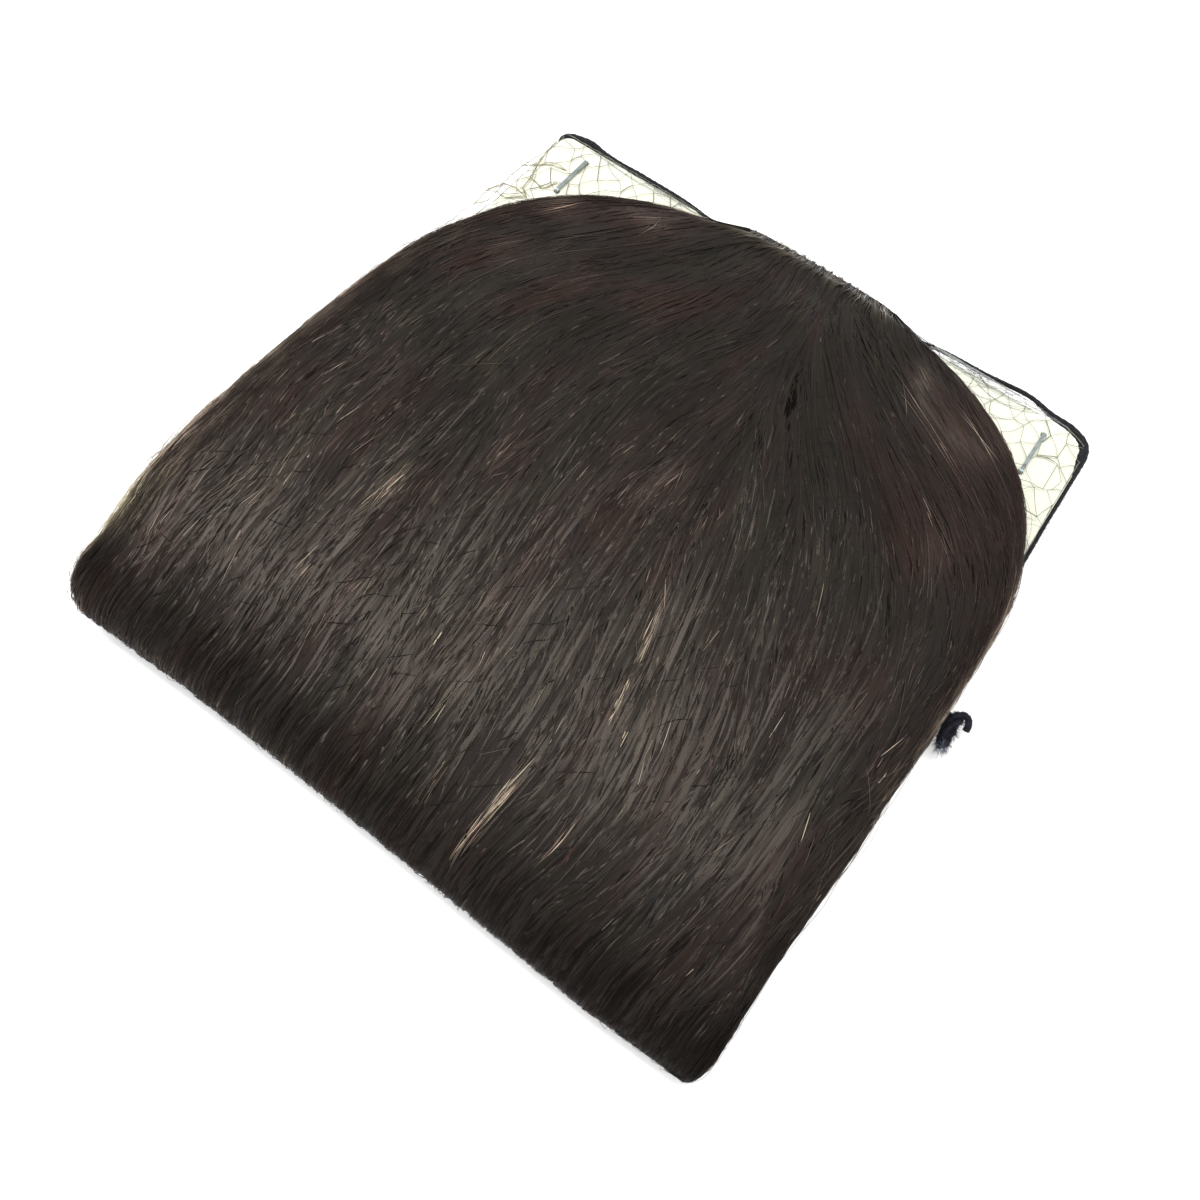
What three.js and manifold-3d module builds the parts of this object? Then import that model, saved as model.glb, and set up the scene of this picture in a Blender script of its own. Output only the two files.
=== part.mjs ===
// Clip-in bangs kept on a card: a fan of hair sewn to a short band, laid over a stiff card, folded
// under the card's lower edge and covered by a net whose elastic rim grips the card's top corners.
//
// Millimetres. X runs across the card, Y up the card towards the sewn band, Z up from the table.
import * as THREE from "three";
import { mergeVertices } from "three/addons/utils/BufferGeometryUtils.js";
import Module from "manifold-3d";

const wasm = await Module();
wasm.setup();

// Driving dimensions

const GAP = 0.3; // clearance between pieces that touch
const TINY = 1e-6; // lengths below this count as nothing

// left, right and lower are the radii of the card's corners.
const CARD = { halfWidth: 75.5, top: 81, bottom: -72, thickness: 1, left: 3, right: 8, lower: 3 };

const FLAP_DEPTH = 5.3; // hair folded under the card, with the gap above it
const CARD_BACK = FLAP_DEPTH;
const CARD_FRONT = CARD_BACK + CARD.thickness;
const CARD_MIDDLE = CARD_BACK + CARD.thickness / 2;

// The front of the hair is a fan: straight sides below the shoulder, and above it a dome whose two
// halves are superellipses of slightly different fullness.
const FAN = {
  halfWidth: 78.5,
  shoulder: 20,
  domeTop: 81.5,
  leftPower: 2,
  rightPower: 2.4,
  top: 77,
  foldTaper: 3, // each side comes in by this much from the shoulder to the fold
};

// Below the dome the left side stands out loosely: not at from, fully between full and ease, and not
// at the fold.
const BULGE = { width: 4.6, from: 50, full: -30, ease: -44 };

// The tips under the card end in a shallow round outline.
const FLAP = { shoulder: -34, tip: 5, roundTop: 8, power: 2.2 };

// Heights of the hair above the card along its run. under is its inner face, over its crown, crown
// how far the middle stands above the sides, side the width of each rounded side, loose how much
// higher the left side stands.
const FRONT_ROWS = [
  { place: "sewn edge", y: 77, under: 2.6, over: 5.2, crown: 1.6, side: 14, loose: 0 },
  { place: "over the clip", y: 60, under: 2.5, over: 7.4, crown: 2.2, side: 15, loose: 0 },
  { place: "below the clip", y: 44, under: 0.3, over: 8.2, crown: 2.0, side: 14, loose: 0 },
  { place: "middle", y: 0, under: 0.3, over: 8.6, crown: 1.2, side: 11, loose: 0.4 },
  { place: "above the fold", y: -50, under: 0.3, over: 8.4, crown: 0.6, side: 10, loose: 2.2 },
  { place: "fold begins", y: -72, under: 0.3, over: 7.8, crown: 0.2, side: 9, loose: 1.6 },
];
const BACK_ROWS = [
  { place: "fold ends", y: -72, under: 0.3, over: 5.3, crown: 0, side: 9, loose: 0 },
  { place: "flap", y: -30, under: 0.3, over: 5.3, crown: 0, side: 8, loose: 0 },
  { place: "tips", y: 5, under: 3.6, over: 5.3, crown: 0, side: 6, loose: 0 },
];
const FOLD_REACH = 9.2; // how far the fold stands below the card's lower edge
const FOLD_LOOSE = 1.8; // how much further it stands out at its left end
const TUCK = { inset: 2.6, rise: 0.24 }; // the sides turn in again towards the card
const STEPS = { dome: 9, straight: 6, fold: 8, flap: 3, tips: 6, side: 5, top: 8, inner: 5 };

// endShare is how thick the band is at its ends, as a share of its middle.
const WEFT = {
  halfLength: 20.5,
  centreX: 1,
  y: 79.2,
  sag: 1.2,
  depth: 3.4,
  height: 3.9,
  endShare: 0.55,
  steps: 16,
  sides: 12,
};
const CLIP = { length: 32, width: 11, thickness: 1.8, y: 68, bow: 3 };
const STAPLE = { crown: 13, wire: 0.6, width: 0.8, x: 65.5, y: 70, clinch: 4.6, bend: 0.5 };
const ELASTIC = { radius: 0.8, sides: 8, steps: 80, cornerSlack: 0.45 };
const KNOT = { x: 78.7, y: 1, z: 4.3, turns: 3, coilRadius: 1.95, pitch: 1.9, wire: 0.85, steps: 78 };

// shift is how far a cell lies off its place in the grid, uneven how much its corners vary, clear how
// far the net keeps from the hair.
const NET = { cell: 6.4, thread: 0.7, thickness: 0.5, border: 0.6, shift: 0.27, uneven: 0.08, clear: 0.5 };
const NET_PHASE = { column: 1.7, row: 2.9, corner: 2.1, up: 1.3 };

// Materials

function finish(colour, roughness, metalness = 0) {
  return new THREE.MeshStandardMaterial({ color: colour, roughness, metalness });
}

const hairBrown = finish(0x2b2320, 0.5);
const bandBrown = finish(0x3a332f, 0.8);
const cardCream = finish(0xf6f5ea, 0.75);
const stapleSteel = finish(0x8a9090, 0.35, 0.9);
const elasticBlack = finish(0x14151a, 0.9);
const netThread = finish(0x4a4438, 0.8);
const clipSteel = finish(0x2a2a2c, 0.4, 0.8);

// Helpers

const smooth = (t) => t * t * (3 - 2 * t);
const clamped = (t) => Math.min(1, Math.max(0, t));

// Evenly spaced numbers from one value to another, both included.
function ramp(from, to, count) {
  return Array.from({ length: count + 1 }, (_, i) => from + ((to - from) * i) / count);
}

// A row of a table at any y, blended smoothly between its two neighbours.
function rowAt(rows, y) {
  const order = [...rows].sort((p, q) => p.y - q.y);
  const above = Math.max(1, order.findIndex((row) => row.y > y - TINY));
  const [a, b] = [order[above - 1], order[above]];
  const t = smooth((y - a.y) / (b.y - a.y));
  const row = { y };
  for (const key of ["under", "over", "crown", "side", "loose"]) {
    row[key] = a[key] + (b[key] - a[key]) * t;
  }
  return row;
}

// Half the width of a superellipse of the given half width and rise, at a height above its centre.
function superellipse(halfWidth, rise, power, height) {
  const share = Math.min(1, Math.max(0, height / rise));
  return halfWidth * (1 - share ** power) ** (1 / power);
}

function geometryOf(points, triangles) {
  const geometry = new THREE.BufferGeometry();
  geometry.setAttribute("position", new THREE.Float32BufferAttribute(points.flat(), 3));
  geometry.setIndex(triangles.flat());
  return geometry;
}

// A closed solid through a run of rings with equal numbers of points, with a flat fan over each end.
function loft(rings) {
  const count = rings[0].length;
  const points = rings.flat();
  const triangles = [];
  for (let r = 0; r + 1 < rings.length; r++) {
    for (let i = 0; i < count; i++) {
      const [a, b] = [r * count + i, r * count + ((i + 1) % count)];
      triangles.push([a, b, b + count], [a, b + count, a + count]);
    }
  }
  const caps = [
    { ring: rings[0], start: 0, outward: false },
    { ring: rings[rings.length - 1], start: (rings.length - 1) * count, outward: true },
  ];
  for (const { ring, start, outward } of caps) {
    const middle = points.length;
    points.push([0, 1, 2].map((axis) => ring.reduce((sum, p) => sum + p[axis], 0) / count));
    for (let i = 0; i < count; i++) {
      const [a, b] = [start + i, start + ((i + 1) % count)];
      triangles.push(outward ? [a, b, middle] : [b, a, middle]);
    }
  }
  return geometryOf(points, triangles);
}

function solidOf(geometry) {
  const bare = geometry.clone();
  bare.deleteAttribute("normal");
  bare.deleteAttribute("uv");
  const merged = mergeVertices(bare, 1e-4);
  return new wasm.Manifold(
    new wasm.Mesh({
      numProp: 3,
      vertProperties: merged.attributes.position.array,
      triVerts: new Uint32Array(merged.index.array),
    }),
  );
}

function geometryFrom(solid) {
  const mesh = solid.getMesh();
  const geometry = new THREE.BufferGeometry();
  geometry.setAttribute("position", new THREE.BufferAttribute(new Float32Array(mesh.vertProperties), 3));
  geometry.setIndex(new THREE.BufferAttribute(new Uint32Array(mesh.triVerts), 1));
  return geometry;
}

// The points of an outline, without the doubled ones where a line meets an arc.
function distinct(points) {
  return points.filter((point, i) => point.distanceTo(points[(i + 1) % points.length]) > TINY);
}

function extruded(shape, depth, curveSegments = 8) {
  const outline = shape.extractPoints(curveSegments);
  return new THREE.ExtrudeGeometry(new THREE.Shape(distinct(outline.shape)), { depth, bevelEnabled: false });
}

// A round tube along a smooth curve through the given points.
function tube(points, radius, sides, steps) {
  const section = new THREE.Shape();
  for (let i = 0; i < sides; i++) {
    const angle = (2 * Math.PI * i) / sides;
    const [x, y] = [radius * Math.cos(angle), radius * Math.sin(angle)];
    if (i === 0) section.moveTo(x, y);
    else section.lineTo(x, y);
  }
  section.closePath();
  const path = new THREE.CatmullRomCurve3(points.map((p) => new THREE.Vector3(...p)), false, "centripetal");
  return new THREE.ExtrudeGeometry(section, { steps, extrudePath: path });
}

function piece(name, geometry, material) {
  const mesh = new THREE.Mesh(geometry, material);
  mesh.name = name;
  return mesh;
}

// Hair: one folded sheet of varying thickness, hollow where the card lies in it

// How far the left side stands out past the fan's plain outline at a height on the card.
function bulgeAt(y) {
  const grown = smooth(clamped((BULGE.from - y) / (BULGE.from - BULGE.full)));
  const kept = smooth(clamped((y - CARD.bottom) / (BULGE.ease - CARD.bottom)));
  return BULGE.width * grown * kept;
}

// Half widths of the fan to the left and right at a height on the card.
function fanWidths(y) {
  const [rise, height] = [FAN.domeTop - FAN.shoulder, y - FAN.shoulder];
  if (height > 0) {
    return {
      left: superellipse(FAN.halfWidth, rise, FAN.leftPower, height) + bulgeAt(y),
      right: superellipse(FAN.halfWidth, rise, FAN.rightPower, height),
    };
  }
  const narrowed = FAN.halfWidth - FAN.foldTaper * smooth(clamped(height / (CARD.bottom - FAN.shoulder)));
  return { left: narrowed + bulgeAt(y), right: narrowed };
}

function flapWidths(y) {
  const full = fanWidths(CARD.bottom).left;
  const width = superellipse(full, FLAP.tip + FLAP.roundTop - FLAP.shoulder, FLAP.power, y - FLAP.shoulder);
  return { left: width, right: width };
}

// One section of the hair as a loop of [x, height above the card]: up the right side, over the crown
// to the left, down the left side and back along the inner face.
function hairSection({ under, over, crown, side, loose }, { left, right }) {
  const depth = over - under;
  const foot = under + TUCK.rise * depth;
  const middle = (right - left) / 2;
  const half = (right + left) / 2;
  const topAt = (x) => over - crown * ((x - middle) / half) ** 2;
  const extra = (x) => loose * Math.max(0, (middle - x) / half) ** 2;
  const loop = [[right - TUCK.inset, under]];
  const sideCurve = (edge, sign) =>
    ramp(0, Math.PI / 2, STEPS.side).map((a) => {
      const x = edge - sign * side * (1 - Math.cos(a));
      return [x, foot + (topAt(x) + extra(x) - foot) * Math.sin(a)];
    });
  loop.push(...sideCurve(right, 1));
  for (const x of ramp(right - side, -left + side, STEPS.top).slice(1, -1)) {
    loop.push([x, topAt(x) + extra(x)]);
  }
  loop.push(...sideCurve(-left, -1).reverse());
  for (const x of ramp(-left + TUCK.inset, right - TUCK.inset, STEPS.inner).slice(0, -1)) {
    loop.push([x, under]);
  }
  return loop;
}

function hairRings() {
  const rings = [];
  const domeRise = FAN.domeTop - FAN.shoulder;
  const topAngle = Math.asin((FAN.top - FAN.shoulder) / domeRise);
  const frontHeights = [
    ...ramp(topAngle, 0, STEPS.dome).map((angle) => FAN.shoulder + domeRise * Math.sin(angle)),
    ...ramp(FAN.shoulder, CARD.bottom, STEPS.straight).slice(1),
  ];
  for (const y of frontHeights) {
    const loop = hairSection(rowAt(FRONT_ROWS, y), fanWidths(y));
    rings.push(loop.map(([x, height]) => [x, y, CARD_FRONT + height]));
  }
  const above = rowAt(FRONT_ROWS, CARD.bottom);
  for (const turn of ramp(0, Math.PI, STEPS.fold).slice(1, -1)) {
    const share = 1 - turn / Math.PI;
    const row = {
      under: 0,
      over: 1,
      crown: (share * above.crown) / FOLD_REACH,
      side: above.side,
      loose: (share * above.loose + FOLD_LOOSE * Math.sin(turn)) / FOLD_REACH,
    };
    const inner = CARD.thickness / 2 + GAP;
    const outerHalf = (CARD_FRONT + above.over) / 2;
    const loop = hairSection(row, fanWidths(CARD.bottom));
    rings.push(
      loop.map(([x, height]) => [
        x,
        CARD.bottom - (inner + (FOLD_REACH - inner) * height) * Math.sin(turn),
        CARD_MIDDLE +
          (outerHalf - CARD_MIDDLE) * height +
          (inner + (outerHalf - inner) * height) * Math.cos(turn),
      ]),
    );
  }
  const tipRise = FLAP.tip + FLAP.roundTop - FLAP.shoulder;
  const tipAngle = Math.asin((FLAP.tip - FLAP.shoulder) / tipRise);
  const backHeights = [
    ...ramp(CARD.bottom, FLAP.shoulder, STEPS.flap),
    ...ramp(0, tipAngle, STEPS.tips).slice(1).map((angle) => FLAP.shoulder + tipRise * Math.sin(angle)),
  ];
  for (const y of backHeights) {
    const loop = hairSection(rowAt(BACK_ROWS, y), flapWidths(y));
    rings.push(loop.map(([x, height]) => [x, y, CARD_BACK - height]));
  }
  return rings;
}

// Band that the hair is sewn to: a short rounded bar that bows towards the top of the card

function weftBand() {
  const [halfDepth, halfHeight] = [WEFT.depth / 2, WEFT.height / 2];
  const middle = CARD_FRONT + GAP + halfHeight;
  const rings = ramp(-1, 1, WEFT.steps).map((t) => {
    const swell = WEFT.endShare + (1 - WEFT.endShare) * Math.sqrt(1 - t * t);
    return ramp(0, 2 * Math.PI, WEFT.sides)
      .slice(0, -1)
      .map((a) => [
        WEFT.centreX + WEFT.halfLength * t,
        WEFT.y - WEFT.sag * t * t + halfDepth * swell * Math.cos(a),
        middle + halfHeight * (swell * Math.sin(a) - (1 - swell)),
      ]);
  });
  return loft(rings);
}

// Hidden snap clip, as one plain bowed bar

function snapClip() {
  const [end, half] = [CLIP.length / 2, CLIP.width / 2];
  const outline = new THREE.Shape();
  outline.moveTo(-end, -half + CLIP.bow);
  outline.quadraticCurveTo(0, -half - CLIP.bow, end, -half + CLIP.bow);
  outline.absarc(end - half / 2, half / 2, half / 2, 0, Math.PI / 2);
  outline.quadraticCurveTo(0, half + CLIP.bow, -end + half / 2, half);
  outline.absarc(-end + half / 2, half / 2, half / 2, Math.PI / 2, Math.PI);
  outline.closePath();
  return extruded(outline, CLIP.thickness);
}

// Card, with round top corners and a slot for each staple leg

function roundedCard() {
  const { halfWidth: w, top, bottom, left, right, lower } = CARD;
  const outline = new THREE.Shape();
  outline.absarc(w - lower, bottom + lower, lower, -Math.PI / 2, 0);
  outline.absarc(w - right, top - right, right, 0, Math.PI / 2);
  outline.absarc(-w + left, top - left, left, Math.PI / 2, Math.PI);
  outline.absarc(-w + lower, bottom + lower, lower, Math.PI, 1.5 * Math.PI);
  return outline;
}

function card() {
  const legOffset = (STAPLE.crown - STAPLE.wire) / 2;
  const slot = [STAPLE.width + 2 * GAP, STAPLE.wire + 2 * GAP, 3 * CARD.thickness];
  let board = solidOf(extruded(roundedCard(), CARD.thickness));
  for (const side of [-1, 1]) {
    for (const end of [-1, 1]) {
      const cutter = new THREE.BoxGeometry(...slot).translate(side * STAPLE.x, STAPLE.y + end * legOffset, 0);
      board = board.subtract(solidOf(cutter));
    }
  }
  return geometryFrom(board);
}

// Staple: crown on the card's face, legs through it, ends clinched against its back. Its outline is
// drawn in the plane that the crown lies in and given the wire's width.

function staple() {
  const { wire, bend, clinch } = STAPLE;
  const half = STAPLE.crown / 2;
  const top = CARD_FRONT + GAP + wire;
  const bottom = CARD_BACK - GAP - wire;
  const outline = new THREE.Shape();
  outline.moveTo(-half + bend, top);
  outline.lineTo(half - bend, top);
  outline.absarc(half - bend, top - bend, bend, Math.PI / 2, 0, true);
  outline.absarc(half - bend, bottom + bend, bend, 0, -Math.PI / 2, true);
  outline.lineTo(half - clinch, bottom);
  outline.lineTo(half - clinch, bottom + wire);
  outline.lineTo(half - wire, bottom + wire);
  outline.lineTo(half - wire, top - wire);
  outline.lineTo(-half + wire, top - wire);
  outline.lineTo(-half + wire, bottom + wire);
  outline.lineTo(-half + clinch, bottom + wire);
  outline.lineTo(-half + clinch, bottom);
  outline.absarc(-half + bend, bottom + bend, bend, 1.5 * Math.PI, Math.PI, true);
  outline.absarc(-half + bend, top - bend, bend, Math.PI, Math.PI / 2, true);
  return extruded(outline, STAPLE.width, 4).rotateX(Math.PI / 2).rotateZ(Math.PI / 2);
}

// Elastic rim of the net: from the knot up the right edge, along the top edge, over the top left
// corner and straight across the card's back to the knot again

function elasticRoute() {
  const offset = ELASTIC.radius + GAP;
  const { halfWidth: w, top } = CARD;
  const onEdge = CARD_MIDDLE;
  const onBack = CARD_BACK - offset - 0.1;
  const corner = (side, angle) => {
    const radius = side < 0 ? CARD.left : CARD.right;
    const round = radius + offset + ELASTIC.cornerSlack;
    const [across, up] = [round * Math.cos(angle), round * Math.sin(angle)];
    return [side * (w - radius + across), top - radius + up, onEdge];
  };
  return [
    [KNOT.x, KNOT.y + GAP, KNOT.z],
    [KNOT.x, KNOT.y + 5, KNOT.z],
    [w + offset + 0.5, KNOT.y + 12, onEdge - 0.6],
    [w + offset, KNOT.y + 24, onEdge],
    [w + offset, top - 2.5 * CARD.right, onEdge],
    ...ramp(0, Math.PI / 2, 3).map((angle) => corner(1, angle)),
    [w / 2, top + offset, onEdge],
    [0, top + offset, onEdge],
    [-w / 2, top + offset, onEdge],
    corner(-1, Math.PI / 2),
    corner(-1, Math.PI / 3),
    [-w - 0.9, top + 0.3, CARD_BACK - 0.6],
    [-w + 0.9, top - 1.7, onBack - 0.6],
    [-w + 3.4, top - 4.6, onBack - 0.1],
    [-STAPLE.x, STAPLE.y, onBack],
    [0, (top + KNOT.y) / 2 - 2, onBack],
    [w - 10, KNOT.y + 2.4, onBack],
    [w - 2.4, KNOT.y - 5.6, onBack - 0.2],
    [KNOT.x - 1.2, KNOT.y - 8.4, KNOT.z],
    [KNOT.x, KNOT.y - 5, KNOT.z],
    [KNOT.x, KNOT.y - GAP, KNOT.z],
  ];
}

// Knot: the elastic's own end wound round it, with a short tail that curls away from the card

function knotRoute() {
  const { turns, coilRadius, pitch, x, y, z } = KNOT;
  const perTurn = 10;
  const length = turns * pitch;
  const coil = ramp(0, turns, turns * perTurn).map((turn) => {
    const angle = 2 * Math.PI * turn;
    const [across, up] = [coilRadius * Math.cos(angle), coilRadius * Math.sin(angle)];
    return [x + across, y - length / 2 + pitch * turn, z + up];
  });
  const end = coil[coil.length - 1];
  const tail = [
    [end[0] + 0.5, end[1] + 1.2, end[2] + 1.4],
    [end[0] + 1.5, end[1] + 1.8, end[2] + 2.2],
    [end[0] + 2.3, end[1] + 0.8, end[2] + 2.4],
    [end[0] + 2.5, end[1] - 0.8, end[2] + 2.0],
  ];
  return [...coil, ...tail];
}

// Net over a bare top corner of the card: an open lattice with a border thread, one cell for each
// place of a six-sided grid that is shifted a little at each place

function cornerOutline(side) {
  const { halfWidth: w, top } = CARD;
  const r = side < 0 ? CARD.left : CARD.right;
  const hair = { rise: FAN.domeTop - FAN.shoulder, power: side < 0 ? FAN.leftPower : FAN.rightPower };
  const [edge, upper] = [w - NET.border, top - NET.border];
  const span = [WEFT.y - 1.5, FAN.shoulder + 17];
  const outline = new THREE.Shape();
  const along = ramp(span[0], span[1], 14).map((y) => [
    superellipse(FAN.halfWidth, hair.rise, hair.power, y - FAN.shoulder) + NET.clear,
    y,
  ]);
  const inner = along.filter(([x]) => x < edge - NET.border);
  const rim = [
    [edge, inner[inner.length - 1][1]],
    ...ramp(0, Math.PI / 2, 4).map((a) => [edge - r + r * Math.cos(a), upper - r + r * Math.sin(a)]),
    [inner[0][0], upper],
  ];
  const points = [...inner, ...rim].map(([x, y]) => [side * x, y]);
  outline.setFromPoints(points.map(([x, y]) => new THREE.Vector2(x, y)));
  outline.closePath();
  return outline;
}

// The outline moved inwards by the width of the border thread.
function inset(outline, distance) {
  const points = outline.getPoints();
  if (points[0].distanceTo(points[points.length - 1]) < TINY) points.pop();
  const turn = Math.sign(THREE.ShapeUtils.area(points));
  const moved = points.map((point, i) => {
    const before = points[(i + points.length - 1) % points.length];
    const after = points[(i + 1) % points.length];
    const first = point.clone().sub(before).normalize();
    const second = after.clone().sub(point).normalize();
    const normal = new THREE.Vector2(-(first.y + second.y), first.x + second.x).normalize();
    const sharp = Math.max(0.35, Math.sqrt((1 + first.dot(second)) / 2));
    return point.clone().addScaledVector(normal, (turn * distance) / sharp);
  });
  return new THREE.Shape(moved);
}

function netCell(x, y, phase) {
  const reach = (NET.cell - NET.thread) / Math.sqrt(3);
  const cell = new THREE.Shape();
  const corners = ramp(0, 2 * Math.PI, 6).slice(0, -1);
  cell.setFromPoints(
    corners.map((a, i) => {
      const stretch = reach * (1 + NET.uneven * Math.sin(phase + NET_PHASE.corner * i));
      return new THREE.Vector2(x + stretch * Math.cos(a), y + stretch * Math.sin(a));
    }),
  );
  cell.closePath();
  return cell;
}

function cornerNet(side) {
  const outline = cornerOutline(side);
  const depth = NET.thickness;
  const plate = solidOf(extruded(outline, depth));
  const room = solidOf(extruded(inset(outline, NET.thread), 3 * depth).translate(0, 0, -depth));
  const box = new THREE.Box2().setFromPoints(outline.getPoints());
  const [stepX, stepY] = [NET.cell * 0.9, NET.cell];
  let net = plate;
  for (let column = 0; box.min.x + column * stepX <= box.max.x + stepX; column++) {
    for (let row = 0; box.min.y + row * stepY <= box.max.y + stepY; row++) {
      const phase = NET_PHASE.column * column + NET_PHASE.row * row;
      const x = box.min.x + column * stepX + NET.shift * Math.sin(phase);
      const y = box.min.y + (row + (column % 2) / 2) * stepY + NET.shift * Math.cos(NET_PHASE.up * phase);
      const cell = solidOf(extruded(netCell(x, y, phase), 3 * depth).translate(0, 0, -depth));
      net = net.subtract(cell.intersect(room));
    }
  }
  return geometryFrom(net);
}

// Assembly

const assembly = new THREE.Group();
assembly.add(piece("hair_fall", loft(hairRings()), hairBrown));
assembly.add(piece("weft_band", weftBand(), bandBrown));

const clip = piece("snap_clip", snapClip(), clipSteel);
clip.position.set(WEFT.centreX, CLIP.y, CARD_FRONT + GAP);
assembly.add(clip);

const board = piece("card", card(), cardCream);
board.position.z = CARD_BACK;
assembly.add(board);

const netHeight = CARD_FRONT + 2 * GAP + STAPLE.wire;
for (const [name, side] of [["left", -1], ["right", 1]]) {
  const wire = piece(`staple_${name}`, staple(), stapleSteel);
  wire.position.set(side * STAPLE.x - STAPLE.width / 2, STAPLE.y, 0);
  assembly.add(wire);
  const net = piece(`net_${name}`, cornerNet(side), netThread);
  net.position.z = netHeight;
  assembly.add(net);
}

const rim = tube(elasticRoute(), ELASTIC.radius, ELASTIC.sides, ELASTIC.steps);
assembly.add(piece("net_elastic", rim, elasticBlack));
const knot = tube(knotRoute(), KNOT.wire, ELASTIC.sides, KNOT.steps);
assembly.add(piece("elastic_knot", knot, elasticBlack));

// The part's frame is centred under its own box, with the table at z = 0.
const box = new THREE.Box3().setFromObject(assembly);
assembly.position.set(-(box.min.x + box.max.x) / 2, -(box.min.y + box.max.y) / 2, -box.min.z);

const clipInBangs = new THREE.Group();
clipInBangs.add(assembly);

export default clipInBangs;
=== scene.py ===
"""Looks of clip-in bangs kept on a card: single hairs, the sewn band, the net, its elastic and the card.

Lengths are millimetres in the card's own axes: x across the card from its middle, y up the card towards the
band, z up from the table. A finished mesh is turned to metres in the model's frame when its piece is made.
"""

import math

import bpy
import numpy as np
from mathutils import Matrix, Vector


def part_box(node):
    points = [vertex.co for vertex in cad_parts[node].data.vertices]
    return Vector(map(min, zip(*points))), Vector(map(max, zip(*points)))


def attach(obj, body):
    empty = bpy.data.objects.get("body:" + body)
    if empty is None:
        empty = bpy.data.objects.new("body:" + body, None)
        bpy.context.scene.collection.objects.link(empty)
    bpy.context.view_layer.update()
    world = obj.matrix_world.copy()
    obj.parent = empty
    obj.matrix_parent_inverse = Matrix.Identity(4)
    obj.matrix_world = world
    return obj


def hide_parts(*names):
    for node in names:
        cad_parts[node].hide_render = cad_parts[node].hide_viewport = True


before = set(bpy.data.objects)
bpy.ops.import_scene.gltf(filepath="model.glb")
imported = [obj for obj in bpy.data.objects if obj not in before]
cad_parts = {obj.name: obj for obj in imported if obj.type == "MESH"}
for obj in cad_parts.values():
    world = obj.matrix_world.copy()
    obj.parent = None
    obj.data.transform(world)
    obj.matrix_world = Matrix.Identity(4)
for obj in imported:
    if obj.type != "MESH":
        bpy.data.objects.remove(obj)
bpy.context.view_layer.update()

# The card sets the axes that everything else is measured in
MM = 0.001
CARD_TOP = 81.0
card_low, card_high = (np.array(corner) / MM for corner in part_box("card"))
ORIGIN = np.array([(card_low[0] + card_high[0]) / 2, card_high[1] - CARD_TOP, 0.0])
CARD_LOW = card_low - ORIGIN
CARD_HIGH = card_high - ORIGIN
CARD_BOTTOM = CARD_LOW[1]
CARD_BACK = CARD_LOW[2]
CARD_FRONT = CARD_HIGH[2]
CARD_MIDDLE = (CARD_BACK + CARD_FRONT) / 2

# Outline of the hair in front, a dome over a straight fall, and of the flap folded behind the card
FAN_HALF = 78.5
FAN_SHOULDER = 20.0
FAN_RISE = 61.5
FAN_POWER = {-1: 2.07, 1: 2.4}
FAN_TAPER = {-1: 3.0, 1: 3.6}
# Below the dome the left side stands out: by how much, the heights it grows between on the way down and
# those between which it ends, and the length that it ends over behind
BULGE = 5.4
BULGE_GROWS = (56.0, -28.0)
BULGE_ENDS = (-84.0, -46.0)
BULGE_BACK = 20.0
# Towards the fold the right side rolls off more sharply: from where, over what length and by what share
CRISP_FROM = -40.0
CRISP_RUN = 30.0
CRISP_LESS = 0.72
# A roll takes at most this share of the width on its side
ROLL_MOST = 0.7
FLAP_SHOULDER = -34.0
FLAP_RISE = 47.0
FLAP_POWER = 2.2
FLAP_TIP = 5.0
# At the band the hair is at least this wide on each side
BAND_REACH = {-1: 20.0, 1: 22.0}

# Down the front: y, then heights above the card of the under face and the outer face, how much the outer
# face falls towards its sides, how wide each side rolls off, and how far the left side stands loose
FRONT_ROWS = (
    (82.2, 2.2, 3.9, 0.3, 7.0, 0.0),
    (77.0, 2.4, 5.6, 1.2, 14.0, 0.0),
    (60.0, 2.5, 7.4, 2.2, 15.0, 0.0),
    (44.0, 0.3, 8.2, 2.0, 14.0, 0.0),
    (0.0, 0.3, 8.6, 1.2, 11.0, 0.4),
    (-50.0, 0.3, 8.4, 0.6, 10.0, 2.2),
    (-72.0, 0.3, 7.8, 0.2, 9.0, 1.6),
)
# Up the back of the card: the same columns, with heights below the card
BACK_ROWS = (
    (-72.0, 0.3, 5.3, 0.0, 9.0, 0.0),
    (-30.0, 0.3, 5.3, 0.0, 8.0, 0.0),
    (5.0, 3.6, 5.3, 0.0, 6.0, 0.0),
)
# The fold: how far it reaches below the card, how much less at the right end and between which x, how far
# it stands loose at the left, the radius of its inner face and half the height of its outer one
FOLD_REACH = 9.9
FOLD_SHORT = 1.0
FOLD_SHORT_X = (48.0, 76.0)
FOLD_LOOSE = 1.8
FOLD_INNER = 0.8
FOLD_HALF = (CARD_FRONT + FRONT_ROWS[-1][2]) / 2
# Before the fold the outer face sinks: where that starts in the middle, how much later it starts at the
# left and between which x, the length it sinks over and the share of its height above the fold's middle
# that it loses by then
SINK_FROM = -47.0
SINK_LATER = 12.0
SINK_LATER_X = (10.0, -60.0)
SINK_RUN = 30.0
SINK_SHARE = 0.34
# The edge below each roll: how far it tucks in, and the share of the hair's depth that it takes
TUCK_IN = 2.6
TUCK_RISE = 0.24

# The distance run along the hair from the band's upper edge: down the front, round the fold, up the back
HAIR_TOP = FRONT_ROWS[0][0]
FRONT_RUN = HAIR_TOP - CARD_BOTTOM
FOLD_RUN = math.pi * math.sqrt((FOLD_REACH**2 + FOLD_HALF**2) / 2)
BACK_RUN = FLAP_TIP - CARD_BOTTOM
BACK_START = FRONT_RUN + FOLD_RUN
FULL_RUN = BACK_START + BACK_RUN

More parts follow.
